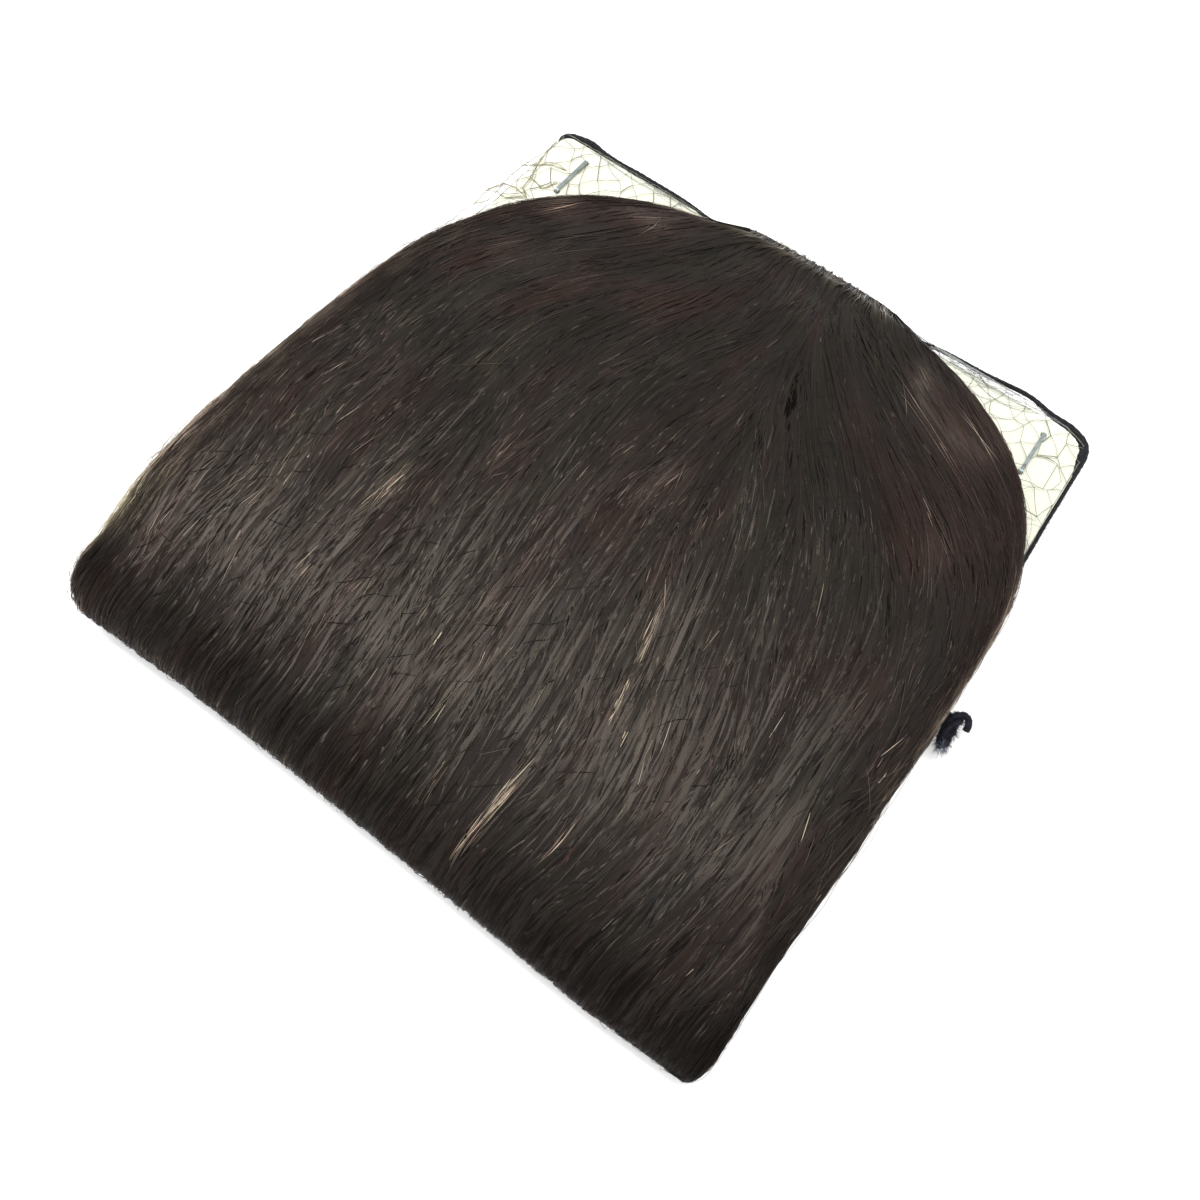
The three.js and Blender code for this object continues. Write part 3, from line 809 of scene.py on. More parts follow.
def hair_below():
    """Closed form under the single hairs, from the band to the tip.

    Each ring is the outer face from edge to edge, sunk a little, and a straight under side back again.
    """
    along, across, below = BELOW_POINTS
    q, v = np.meshgrid(np.linspace(0, FULL_RUN, along), np.linspace(-1, 1, across), indexing="ij")
    normal = hair_normal(np.clip(q, BELOW_END, FULL_RUN - BELOW_END), v)
    tall = (lock_height(q, flow_line(q, v)) - BELOW_SUNK) * smooth((1 - np.abs(v)) / BELOW_RIM)
    outer = above_floor(hair_place(q, v) + normal * tall[..., None])
    share = np.linspace(0, 1, below)[None, 1:-1, None]
    under = outer[:, -1:] * (1 - share) + outer[:, :1] * share
    ring = np.concatenate([outer, under], 1)
    index = np.arange(ring[..., 0].size).reshape(ring.shape[:2])
    after = np.roll(index, -1, axis=1)
    walls = np.stack([index[:-1], index[1:], after[1:], after[:-1]], -1).reshape(-1, 4)
    caps = np.stack([index[0], index[-1, ::-1]])
    shape = (ring.reshape(-1, 3), [walls, caps])
    piece("hair_below", shape, under_finish(), replaces=["hair_fall"])


# Patches in front: x, y, reach, change of shade and of tint. Most are patches of another colour; some paint
# light and shade round the highlight band
COLOUR_AND_LIGHT_PATCHES = (
    (36.0, 66.5, 5.0, 0.36, -0.22),
    (38.0, 58.5, 4.5, 0.24, -0.18),
    (50.0, 56.0, 5.0, 0.20, -0.20),
    (16.0, 78.0, 6.0, 0.10, 0.30),
    (52.0, 44.0, 24.0, 0.02, -0.16),
    (-38.3, 65.0, 5.5, 0.30, -0.22),
    (-55.0, 55.0, 5.0, 0.22, -0.22),
    (-13.7, 30.0, 12.0, 0.03, 0.25),
    (46.0, 40.0, 4.5, 0.20, -0.16),
    (58.0, 30.0, 5.0, 0.14, -0.16),
    # These ten rows paint shade near the fold and above the highlight band, and highlight in it
    (64.0, -66.0, 24.0, -0.20, 0.06),
    (18.0, -66.0, 17.0, -0.07, 0.02),
    (-8.0, -65.0, 13.0, -0.09, 0.0),
    (-30.0, -69.0, 12.0, -0.06, 0.0),
    (-36.0, -8.0, 17.0, -0.13, 0.0),
    (55.0, -13.0, 16.0, -0.11, 0.0),
    (-62.0, -51.0, 12.0, 0.12, 0.0),
    (32.0, -47.0, 11.0, 0.05, 0.0),
    (-34.0, -60.0, 9.0, -0.08, 0.0),
    (52.0, -67.0, 10.0, -0.06, 0.0),
    (51.0, 58.0, 11.0, 0.16, -0.06),
)


# Where the hair rolls over at its edges it is painted paler, a painted rim light: the upward part of its
# direction at which that starts and is full, and how much paler. Along the fold it has its own share at each
# of two x, taken up over a stretch, and low down on the right side it falls to a share over another stretch
ROLL_SPAN = (0.97, 0.62)
ROLL_PAINTED_LIGHT = 0.2
ROLL_FOLD_X = (-80.0, 75.0)
ROLL_FOLD = (2.2, 0.7)
ROLL_FOLD_RUN = (FRONT_RUN - 12, FRONT_RUN - 2)
ROLL_LOW_RIGHT = 0.3
ROLL_LOW_RUN = (80, 105)


def painted_rim_light(run, place, x):
    """Share of the painted rim light where the hair rolls over its edges, weaker low down towards the right.
    """
    over = rising(hair_normal(run, place)[..., 2], ROLL_SPAN)
    low = np.where(place > 0, rising(run, ROLL_LOW_RUN), 0.0)
    side = 1 + low * (ROLL_LOW_RIGHT - 1)
    fold = rising(run, ROLL_FOLD_RUN)
    return over * (side + fold * (np.interp(x, ROLL_FOLD_X, ROLL_FOLD) - side))


# Cells of the patches, flecks and tints that neighbours share, how far each changes the shade or the
# tint, and the plain tint
PATCH_CELLS = (13, 15)
FLECK_CELLS = (55, 5)
TINT_CELLS = (11, 18)
PATCH_PALER = 0.08
FLECK_PALER = 0.08
TINT_PATCH = 0.36
TINT_PLAIN = 0.37
# Between these runs the hair goes from calm and dim to lively, and this share of its own shade is calm's.
# The dimming of the upper part is painted shade
LIVELY_RUN = (40, 100)
CALM_LIVELY = 0.42
# Near the edges, between these shares across and as far as the fold, the hair is painted paler, a painted
# rim light, and redder, less so on the right side
EDGE_SPAN = (0.78, 0.94)
EDGE_FOLD_RUN = (FRONT_RUN, FRONT_RUN - 14)
EDGE_RIGHT = 0.6
EDGE_PAINTED_LIGHT = 0.11
EDGE_REDDER = 0.28
# Over this stretch the hair is painted darker under the fold, a painted shade
FOLD_SHADE_RUN = (FRONT_RUN - 7, FRONT_RUN + 6)
FOLD_PAINTED_SHADE = 0.26
# Mottling of the upper part: width and length of its cells, the runs it fades between, how pale, how red
MOTTLE_CELL = (5, 6)
MOTTLE_RUN = (105, 55)
MOTTLE_PALER = 0.11
MOTTLE_REDDER = 0.08
# Hairs that are pale, between these shades, keep less of their tint and turn to this one
PALE_SPAN = (0.52, 0.72)
PALE_TINT = 0.44
PALE_TURN = 0.65


def hair_colours(run, place, line, rng, shade, spread, hue=0.12, dim=0.06):
    """Palette places along hairs: patches that neighbours share, then each hair's own shade and tint.

    Near its edges and where it rolls over, painted rim light makes it paler; near its edges it is also
    redder.
    Painted shade darkens it under the fold and can dim its upper part; some patches paint light and shade.
    """
    count = len(run)
    lively = rising(run, LIVELY_RUN)
    own = FLECK_PALER * flow_patches(line, run, FLECK_CELLS, SEED + 2)
    own = own + rng.normal(0, spread, count)[:, None]
    tone = shade + PATCH_PALER * flow_patches(line, run, PATCH_CELLS, SEED + 1)
    # dim darkens the upper part: painted shade
    tone = tone + (CALM_LIVELY + (1 - CALM_LIVELY) * lively) * own - dim * (1 - lively)
    tint = TINT_PLAIN + TINT_PATCH * flow_patches(line, run, TINT_CELLS, SEED + 3)
    tint = tint + rng.normal(0, hue, count)[:, None]
    edge = rising(np.abs(place), EDGE_SPAN) * rising(run, EDGE_FOLD_RUN)
    edge = edge * np.where(place < 0, 1.0, EDGE_RIGHT)
    x = face_x(run, place)
    mottle = patches(x / MOTTLE_CELL[0] + PATCH_SHIFT, run / MOTTLE_CELL[1], SEED + 6)
    mottle = mottle * rising(run, MOTTLE_RUN)
    # Painted rim light near the edges and painted shade under the fold
    tone = tone + EDGE_PAINTED_LIGHT * edge - FOLD_PAINTED_SHADE * rising(run, FOLD_SHADE_RUN)
    # Painted rim light where the hair rolls over
    tone = tone + MOTTLE_PALER * mottle + ROLL_PAINTED_LIGHT * painted_rim_light(run, place, x)
    tint = tint - EDGE_REDDER * edge - MOTTLE_REDDER * mottle
    for patch_x, patch_y, reach, paler, bluer in COLOUR_AND_LIGHT_PATCHES:
        near = bell(x, HAIR_TOP - run, patch_x, patch_y, reach)
        tone = tone + paler * near
        tint = tint + bluer * near
    pale = rising(tone, PALE_SPAN)
    return tone, tint + PALE_TURN * pale * (PALE_TINT - tint)


# A hair of a layer bobs up and down by a height and over a length within these, dives at its ends, and
# however flat it is, keeps some height
BOB_TALL = (0.02, 0.12)
BOB_LENGTH = (14.0, 40.0)
LAYER_DIVE = 0.3
LAYER_TALL = 0.04
# Between these shares across a hair loses most of its evened-out look, and its own roundness shows
RIM_SPAN = (0.80, 0.95)
RIM_ROUND = 0.8


def hair_layer(name, count, runs, spans, steps, lift, width, lean=0.025, wave=0.3, flat=0.4, facing=0.5,
               shade=0.42, spread=0.09, thin=0.25, hue=0.12, dim=0.06, tilt=0.06, stir=0.0, finish=HAIR):
    """One layer of hairs, strewn over the face between two distances run.

    Each hair goes up and down from its seed by lengths within spans, lies at a height within lift over the
    locks and has a half width within width. Flat is its height by its width, and thin the share of it at
    each end that thins out. Its normals lean to the face's by facing and tilt along it a little.
    """
    rng = np.random.default_rng(SEED + count)
    q, v = scatter(count, *runs, rng)
    before = rng.uniform(*spans, count)
    after = rng.uniform(*spans, count)
    run, place, line, t = comb(q, v, before, after, steps, rng, lean, wave, stir)
    bob = rng.uniform(*BOB_TALL, count)[:, None]
    phase = rng.uniform(0, 2 * math.pi, count)[:, None]
    length = rng.uniform(*BOB_LENGTH, count)[:, None]
    rise = rng.uniform(*lift, count)[:, None] + bob * np.sin(2 * math.pi * run / length + phase)
    lines, ups = hair_lines(run, place, line, t, rise, LAYER_DIVE)
    wide = rng.uniform(*width, count)[:, None] * taper(t, thin, thin)[None]
    tall = np.minimum(wide, flat * wide + LAYER_TALL)
    slope = rng.normal(0, tilt, count)[:, None]
    level = facing * (1 - RIM_ROUND * rising(np.abs(place), RIM_SPAN))
    shape = tubes(lines, ups, wide, tall, lean=level, tilt=slope)
    palette = palette_places(*hair_colours(run, place, line, rng, shade, spread, hue, dim))
    piece(name, shape, finish, palette)


# The layers from the lowest to the highest, in front, round the fold and behind
HAIR_LAYERS = {
    "hairs_front_deep": dict(
        count=1700, runs=(3, FRONT_RUN), spans=(12, 30), steps=7, lift=(-0.14, 0.0), width=(0.35, 0.60),
        flat=0.12, facing=0.9, shade=0.43, spread=0.045, tilt=0.05, stir=0.08),
    "hairs_front_middle": dict(
        count=2100, runs=(3, FRONT_RUN), spans=(6, 20), steps=7, lift=(-0.08, 0.03), width=(0.15, 0.28),
        flat=0.18, facing=0.85, shade=0.44, spread=0.07, hue=0.16, tilt=0.08, stir=0.16),
    "hairs_front_top": dict(
        count=1300, runs=(3, FRONT_RUN), spans=(4, 14), steps=8, lift=(-0.02, 0.08), width=(0.06, 0.12),
        lean=0.06, facing=0.7, shade=0.49, spread=0.11, hue=0.18, tilt=0.08, stir=0.2),
    "hairs_flecks": dict(
        count=5400, runs=(8, FRONT_RUN + 2), spans=(1.0, 4.0), steps=4, lift=(0.0, 0.08), width=(0.12, 0.30),
        lean=0.1, flat=0.15, facing=0.8, shade=0.46, spread=0.12, thin=0.45, hue=0.3, tilt=0.13, stir=0.25),
    "hairs_shadow": dict(
        count=900, runs=(50, FRONT_RUN + 2), spans=(1.2, 4.2), steps=4, lift=(0.02, 0.09),
        width=(0.10, 0.24), lean=0.1, flat=0.15, facing=0.8, shade=0.16, spread=0.07, thin=0.45, tilt=0.13,
        stir=0.25, finish=HAIR_DULL),
    # Glint and shine hairs: paler hairs whose colour paints highlights
    "hairs_glint": dict(
        count=1000, runs=(30, FRONT_RUN - 4), spans=(1.5, 5.5), steps=5, lift=(0.08, 0.18),
        width=(0.06, 0.11), lean=0.12, facing=0.3, shade=0.76, spread=0.11, thin=0.4, dim=0.16, stir=0.25),
    "hairs_shine": dict(
        count=1500, runs=(HAIR_TOP - 15, FRONT_RUN - 8), spans=(0.8, 3.2), steps=4, lift=(0.06, 0.14),
        width=(0.11, 0.22), lean=0.1, flat=0.3, shade=0.66, thin=0.45, hue=0.2, tilt=0.12, stir=0.25),
    "hairs_long": dict(
        count=130, runs=(25, HAIR_TOP + 20), spans=(5, 15), steps=10, lift=(0.12, 0.22),
        width=(0.045, 0.075), lean=0.1, facing=0.4, shade=0.68, spread=0.07, dim=0.0, stir=0.15),
    "hairs_crossing": dict(
        count=150, runs=(12, FRONT_RUN), spans=(3, 9), steps=10, lift=(0.15, 0.3), width=(0.035, 0.055),
        lean=0.4, wave=0.8, facing=0.2, shade=0.74),
    "hairs_fold": dict(
        count=1400, runs=(FRONT_RUN - 4, BACK_START + 8), spans=(6, 14), steps=9, lift=(-0.12, 0.05),
        width=(0.15, 0.32), flat=0.2, facing=0.75, shade=0.44, spread=0.12, hue=0.16, finish=HAIR_DULL),
    "hairs_behind": dict(
        count=500, runs=(BACK_START, FULL_RUN - 4), spans=(14, 36), steps=8, lift=(-0.3, 0.0),
        width=(0.2, 0.4), facing=0.6, shade=0.6, finish=HAIR_DULL),
}


# Marks that stand out in front: x, y, length, spread across, how many short hairs each has, and their shade.
# The pale marks are paler hairs whose colour also paints highlights on them
PALE_GLINT_MARKS = (
    (-36.7, -27.2, 14.0, 1.4, 56, 0.90),
    (-46.0, -38.0, 14.0, 1.4, 16, 0.76),
    (-4.6, -36.5, 9.0, 0.4, 6, 0.84),
    (-24.5, -6.2, 12.0, 0.2, 12, 0.88),
    (0.9, 16.8, 10.0, 0.4, 9, 0.82),
    (10.9, 7.4, 13.0, 0.2, 9, 0.84),
    (36.5, 51.9, 5.0, 0.2, 4, 0.84),
    (42.2, 55.8, 5.0, 0.2, 3, 0.80),
    (46.8, 48.7, 5.0, 0.4, 5, 0.82),
    (52.2, 37.8, 8.0, 0.2, 5, 0.84),
    (44.9, 25.9, 9.0, 0.2, 5, 0.82),
    (52.7, 27.8, 8.0, 0.2, 4, 0.80),
    (22.6, -21.0, 15.0, 0.7, 40, 0.93),
    (25.6, -35.8, 10.0, 0.4, 22, 0.96),
    (29.6, -40.7, 8.0, 0.5, 10, 0.86),
    (30.3, -33.0, 6.0, 0.5, 6, 0.83),
    (34.5, -20.8, 10.0, 1.2, 20, 0.80),
    (10.9, -44.4, 5.0, 0.6, 8, 0.83),
    (10.5, -51.5, 6.0, 1.0, 10, 0.78),
    (11.2, -68.5, 12.0, 0.7, 20, 0.83),
    (19.6, -66.0, 20.0, 0.7, 58, 0.94),
    (31.9, -62.5, 15.0, 0.4, 14, 0.90),
    (30.2, -45.8, 5.0, 1.0, 9, 0.81),
    (47.7, -29.3, 7.0, 0.9, 9, 0.78),
    (37.0, -55.1, 6.0, 1.2, 10, 0.77),
    (41.0, -50.3, 6.0, 1.0, 9, 0.77),
)
# The dark marks paint shade in the slits where locks part and in gaps between hairs
PAINTED_SHADE_MARKS = (
    (15.3, 44.6, 10.0, 0.45, 40, 0.0),
    (16.5, 38.6, 11.0, 0.6, 46, 0.0),
    (12.6, 50.9, 8.0, 0.9, 8, 0.08),
    (22.5, 30.7, 8.0, 1.2, 9, 0.08),
    (16.1, 28.8, 8.0, 1.6, 12, 0.08),
    (20.1, -3.8, 9.0, 2.4, 16, 0.10),
    (16.7, 4.9, 8.0, 2.2, 14, 0.10),
    (16.0, -15.3, 8.0, 2.0, 12, 0.10),
)


# A mark's hairs: how far they are strewn across for each millimetre of its spread, the share of its
# length that half of one takes, the share of it that they are strewn along on each side, steps, lean,
# wave, shared lean and dive of each, and its height by its half width and at most
MARK_ACROSS = 0.6
MARK_HALF = (0.08, 0.24)
MARK_ALONG = 0.4
MARK_STEPS = 6
MARK_LEAN = 0.045
MARK_WAVE = 0.3
MARK_STIR = 0.08
MARK_DIVE = 0.25
MARK_THIN = 0.4
MARK_FACING = 0.4
MARK_FLAT = 0.7
MARK_TALL = 0.07
# The share of them that lie apart, how much further out and how much darker, then how much darker the
# stout ones and those at a mark's ends are, which leaves a pale mark's painted highlight brightest in its
# middle, and the spread of their shades and tints
MARK_APART = 0.38
APART_REACH = 1.6
APART_DARKER = 0.10
STOUT_DARKER = 0.02
END_DARKER = 0.07
MARK_SPREAD = 0.06
MARK_TINT = (0.42, 0.12)


def marks(name, table, width, lift, finish):
    """Groups of short hairs at their places in front, each group strewn along the fall."""
    rng = np.random.default_rng(SEED + len(table))
    rows = np.repeat(np.array(table), [row[4] for row in table], axis=0)
    mark_x, mark_y, long, spread, _, mark_shade = rows.T
    count = len(rows)
    apart = rng.random(count) < MARK_APART
    x = mark_x + rng.normal(0, MARK_ACROSS, count) * spread * (1 + APART_REACH * apart)
    q = HAIR_TOP - mark_y
    half = long * rng.uniform(*MARK_HALF, count)
    off = rng.uniform(-1, 1, count)
    middle = q + MARK_ALONG * off * long
    place = flow_place(middle, flow_line(q, face_share(q, x)))
    run, place, line, t = comb(
        middle, place, half, half, MARK_STEPS, rng, MARK_LEAN, MARK_WAVE, MARK_STIR, open_by=0.0)
    lines, ups = hair_lines(run, place, line, t, rng.uniform(*lift, count)[:, None], MARK_DIVE)
    stout = rng.random(count) ** 2
    wide = (width[0] + (width[1] - width[0]) * stout)[:, None] * taper(t, MARK_THIN, MARK_THIN)[None]
    shape = tubes(lines, ups, wide, np.minimum(MARK_FLAT * wide, MARK_TALL), lean=MARK_FACING)
    shade = mark_shade - STOUT_DARKER * stout - END_DARKER * off**2 - APART_DARKER * apart
    shade = (shade + rng.normal(0, MARK_SPREAD, count))[:, None] + 0 * run
    tint = rng.normal(*MARK_TINT, count)[:, None] + 0 * run
    piece(name, shape, finish, palette_places(shade, tint))


# How a stray hair thins: the share of it at each end, and the share of its thickness that is left there
STRAY_THIN = (0.2, 0.2, 0.3)
STRAY_DIVE = 0.3
# Stray hairs round the edges: how many, the share of them at the left, and the ranges of their places
# across and along, of their length each way and of their half width
STRAY_COUNT = 2000
STRAY_LEFT = 0.6
STRAY_PLACE = (0.84, 0.97)
STRAY_RUN = (8.0, FRONT_RUN + 10)
STRAY_HALF = (4.0, 15.0)
STRAY_WIDE = (0.03, 0.055)
STRAY_STEPS = 7
STRAY_LEAN = 0.03
STRAY_WAVE = 0.25
STRAY_LIFT = 0.12
# How far they bow out on average and at most, mainly sideways, and how much more at the left: low down,
# from one run to another, and on the dome, between the runs where it starts and ends
STRAY_BOW = 0.2
STRAY_BOW_MOST = 1.8
STRAY_OUT = (1.0, 0.3, 0.15)
LOW_BOW = 1.4
LOW_RUN = (95, 140)
DOME_BOW = 0.8
DOME_START = (10, 25)
DOME_END = (95, 65)
# Their shade at the left and at the right, paler at the left as painted rim light, how much paler they are
# low at the left, more painted rim light, and how much less red
STRAY_SHADE = {-1: 0.64, 1: 0.56}
STRAY_SPREAD = 0.08
LOW_LEFT_PAINTED_LIGHT = 0.05
STRAY_LESS_RED = 0.12


def stray_hairs():
    """Loose hairs round the edges: each leaves the face near an edge, bows outwards and comes back."""
    rng = np.random.default_rng(SEED + 6)
    count = STRAY_COUNT
    side = np.where(rng.random(count) < STRAY_LEFT, -1.0, 1.0)
    v = side * rng.uniform(*STRAY_PLACE, count)
    q = rng.uniform(*STRAY_RUN, count)
    half = rng.uniform(*STRAY_HALF, count)
    run, place, line, t = comb(q, v, half, half, STRAY_STEPS, rng, STRAY_LEAN, STRAY_WAVE)
    low_left = (side < 0) * rising(q, LOW_RUN)
    dome_left = (side < 0) * rising(q, DOME_START) * rising(q, DOME_END)
    bow = rng.exponential(STRAY_BOW, count) * (1 + LOW_BOW * low_left + DOME_BOW * dome_left)
    bow = np.minimum(bow, STRAY_BOW_MOST)
    lines, ups = hair_lines(run, place, line, t, STRAY_LIFT, STRAY_DIVE)
    out = unit(ups * np.array(STRAY_OUT))
    lines = lines + out * (bow[:, None] * np.sin(math.pi * t) ** 2)[..., None]
    wide = rng.uniform(*STRAY_WIDE, count)[:, None] * taper(t, *STRAY_THIN)[None]
    base = on_side(STRAY_SHADE, side, float)[:, None]
    shade, tint = hair_colours(run, place, line, rng, base, STRAY_SPREAD)
    palette = palette_places(shade + LOW_LEFT_PAINTED_LIGHT * low_left[:, None], tint + STRAY_LESS_RED)
    piece("hairs_stray", tubes(lines, ups, wide, wide), HAIR, palette)


# Fuzz along the fold: how many hairs, the ranges of their places across and round the fold, of their
# length each way and of their half width, how far they bow out on average and at most, and their shade,
# painted paler to the left, a painted rim light
FUZZ_COUNT = 1500
FUZZ_PLACE = (-0.97, 0.97)
FUZZ_ROUND = (0.15, 0.75)
FUZZ_HALF = (2.0, 5.0)
FUZZ_WIDE = (0.025, 0.045)
FUZZ_STEPS = 5
FUZZ_LEAN = 0.12
FUZZ_WAVE = 0.1
FUZZ_LIFT = 0.05
FUZZ_BOW = 0.16
FUZZ_BOW_MOST = 0.6
FUZZ_SHADE = (0.42, 0.12)
FUZZ_LEFT_PAINTED_LIGHT = 0.15
FUZZ_SHADES = (0.1, 0.85)
FUZZ_TINT = 0.4


def fold_fuzz():
    """Fine hairs that stand off the outer line of the fold, each bowed outwards."""
    rng = np.random.default_rng(SEED + 7)
    count = FUZZ_COUNT
    v = rng.uniform(*FUZZ_PLACE, count)
    q = FRONT_RUN + FOLD_RUN * rng.uniform(*FUZZ_ROUND, count)
    half = rng.uniform(*FUZZ_HALF, count)
    run, place, line, t = comb(q, v, half, half, FUZZ_STEPS, rng, FUZZ_LEAN, FUZZ_WAVE)
    bow = np.minimum(rng.exponential(FUZZ_BOW, count), FUZZ_BOW_MOST)[:, None] * np.sin(math.pi * t) ** 2
    lines, ups = hair_lines(run, place, line, t, FUZZ_LIFT + bow, STRAY_DIVE)
    wide = rng.uniform(*FUZZ_WIDE, count)[:, None] * taper(t, *STRAY_THIN)[None]
    shade = np.clip(rng.normal(*FUZZ_SHADE, count) + FUZZ_LEFT_PAINTED_LIGHT * (1 - v), *FUZZ_SHADES)
    palette = palette_places(shade[:, None] + 0 * run, FUZZ_TINT + 0 * run)
    piece("hairs_fold_fuzz", tubes(lines, ups, wide, wide), HAIR_DULL, palette)


def build_hair():
    """All layers of hair, from the form below to the stray hairs at its edges."""
    hair_below()
    for name, layer in HAIR_LAYERS.items():
        hair_layer(name, **layer)
    marks("hairs_pale_glint_marks", PALE_GLINT_MARKS, width=(0.05, 0.20), lift=(0.14, 0.24), finish=HAIR)
    marks("hairs_painted_shade_marks", PAINTED_SHADE_MARKS, width=(0.05, 0.16), lift=(0.06, 0.16), finish=HAIR_DULL)
    stray_hairs()
    fold_fuzz()


# Sewn band

# The band: width of a bundle, how many there are, its middle, how far its ends sag, and how far below its
# upper edge and how high its axis lies
BAND_PITCH = 2.6
BAND_BUNDLES = 15
BAND_HALF = BAND_PITCH * BAND_BUNDLES / 2
BAND_X = 1.0
BAND_SAG = 1.1
BAND_IN = 2.0
BAND_Z = CARD_FRONT + 2.4
# Its core: half sizes, the share it narrows by between bundles, power of its round ends, points, sides
CORE_SIZE = (1.8, 1.9)
CORE_NARROW = 0.18
CORE_END_POWER = 8
CORE_END_LEAST = 0.01
CORE_POINTS = 181
CORE_SIDES = 14
# Bundles: hairs in each, the share of the pitch that they spread over to each side, the radius of their
# loop, its unevenness and how much less it is at a bundle's sides, and how far they run down in front
BUNDLE_HAIRS = 22
BUNDLE_SPREAD = 0.42
BUNDLE_LOOP = 2.45
BUNDLE_UNEVEN = 0.22
BUNDLE_ROUND = 0.5
BUNDLE_RUN = (2.0, 8.0)
BUNDLE_POINTS = 15
# The first half of a bundle's hair is its loop, joined to the fall between two shares of its length. The
# fall lies at a lift and dives over its last stretch
LOOP_SHARE = 0.5
JOIN_SPAN = (0.4, 0.6)
FALL_LIFT = 0.2
FALL_DIVE = 0.6
DIVE_SPAN = (0.8, 1.0)
LOOP_UP = 0.4
BUNDLE_WIDE = (0.10, 0.18)
BUNDLE_THIN = (0.05, 0.3, 0.4)
BUNDLE_FLAT = 0.8
BUNDLE_FACING = 0.75
# A bundle's hairs are painted paler at their crest, a painted highlight where the loop turns over the band,
# and bluer there: where along them that is, its width, and how much
CREST_AT = 0.5
CREST_WIDE = 0.26
BUNDLE_SHADE = (0.44, 0.06)
CREST_PAINTED_LIGHT = (0.28, 0.47)
BUNDLE_TINT = 0.4
CREST_BLUER = (0.35, 0.6)
# Stitches: radius of their loop, unevenness along the band, the gap of a pair, their slant, the angles
# that a loop goes between, and the thread's half size
STITCH_LOOP = 2.0
STITCH_UNEVEN = 0.15
STITCH_GAP = 0.35
STITCH_SLANT = (0.4, 0.2)
STITCH_TURN = (-0.2 * math.pi, math.pi)
STITCH_POINTS = 18
STITCH_SIZE = 0.15
STITCH_SIDES = 5
# Fibres: how far below the edge and above the axis they start, how many, their reach and half size
FIBRE_IN = 1.2
FIBRE_RISE = 0.4
FIBRE_RADIUS = 1.8
FIBRE_COUNT = 1300
FIBRE_REACH = 1.1
FIBRE_SIZE = 0.05
FIBRE_POINTS = 240


def band_edge(x):
    """Upper edge of the band at x: a shallow arch, a parabola."""
    return HAIR_TOP - BAND_SAG * ((x - BAND_X) / BAND_HALF) ** 2


def band_core():
    """The band under the hair: a bar whose round section swells at each bundle, with closed round ends."""
    along = np.linspace(-1, 1, CORE_POINTS)
    x = BAND_X + BAND_HALF * along
    ripple = np.abs(np.sin(math.pi * ((x - BAND_X) / BAND_PITCH + BAND_BUNDLES / 2)))
    swell = np.sqrt(np.clip(1 - along**CORE_END_POWER, CORE_END_LEAST, 1)) * (1 - CORE_NARROW * (1 - ripple))
    line = np.stack([x, band_edge(x) - BAND_IN, np.full_like(x, BAND_Z)], -1)[None]
    wide, tall = ((half * swell)[None] for half in CORE_SIZE)
    shape = tubes(line, np.broadcast_to(UPWARD, line.shape), wide, tall, CORE_SIDES)
    piece("weft_band_sewn", shape, thread_finish("band"), replaces=["weft_band"])


def band_bundles():
    """Bundles of hair looped over the band.

    Each hair rises behind the band on a half circle, turns over its edge and runs down the hair's face.
    """
    rng = np.random.default_rng(SEED + 8)
    count = BAND_BUNDLES * BUNDLE_HAIRS
    bundle = np.repeat(np.arange(BAND_BUNDLES), BUNDLE_HAIRS) + 0.5 - BAND_BUNDLES / 2
    inside = rng.uniform(-1, 1, count)
    x = (BAND_X + BAND_PITCH * (bundle + BUNDLE_SPREAD * inside))[:, None]
    t = np.linspace(0, 1, BUNDLE_POINTS)[None]
    turn = math.pi * np.clip(t / LOOP_SHARE, 0, 1)
    tall = (BUNDLE_LOOP + BUNDLE_UNEVEN * rng.normal(size=count) - BUNDLE_ROUND * inside**2)[:, None]
    y_loop = band_edge(x) - BAND_IN + tall * np.sin(turn)
    z_loop = BAND_Z - tall * np.cos(turn)
    loop = np.stack(np.broadcast_arrays(x, y_loop, z_loop), -1)
    down = rng.uniform(*BUNDLE_RUN, count)[:, None] * np.clip((t - LOOP_SHARE) / (1 - LOOP_SHARE), 0, 1)
    q = HAIR_TOP - band_edge(x) + BAND_IN + down
    place = flow_place(q, flow_line(q[:, :1], face_share(q[:, :1], x)))
    fall = hair_place(q, place) + hair_normal(q, place) * FALL_LIFT
    fall[..., 2] -= FALL_DIVE * rising(t, DIVE_SPAN)
    mixed = rising(t, JOIN_SPAN)[..., None]
    lines = loop * (1 - mixed) + fall * mixed
    ups = unit(np.stack(np.broadcast_arrays(0 * x, np.sin(turn), LOOP_UP - np.cos(turn)), -1))
    wide = rng.uniform(*BUNDLE_WIDE, count)[:, None] * taper(t, *BUNDLE_THIN)
    shape = tubes(lines, ups, wide, BUNDLE_FLAT * wide, lean=BUNDLE_FACING)
    # crest: painted highlight along the loop's top
    crest = np.exp(-(((t - CREST_AT) / CREST_WIDE) ** 2))
    shade = rng.normal(*BUNDLE_SHADE, count)[:, None] + rng.uniform(*CREST_PAINTED_LIGHT, count)[:, None] * crest
    tint = BUNDLE_TINT + rng.uniform(*CREST_BLUER, count)[:, None] * crest
    piece("weft_bundles", shape, HAIR, palette_places(shade, tint))


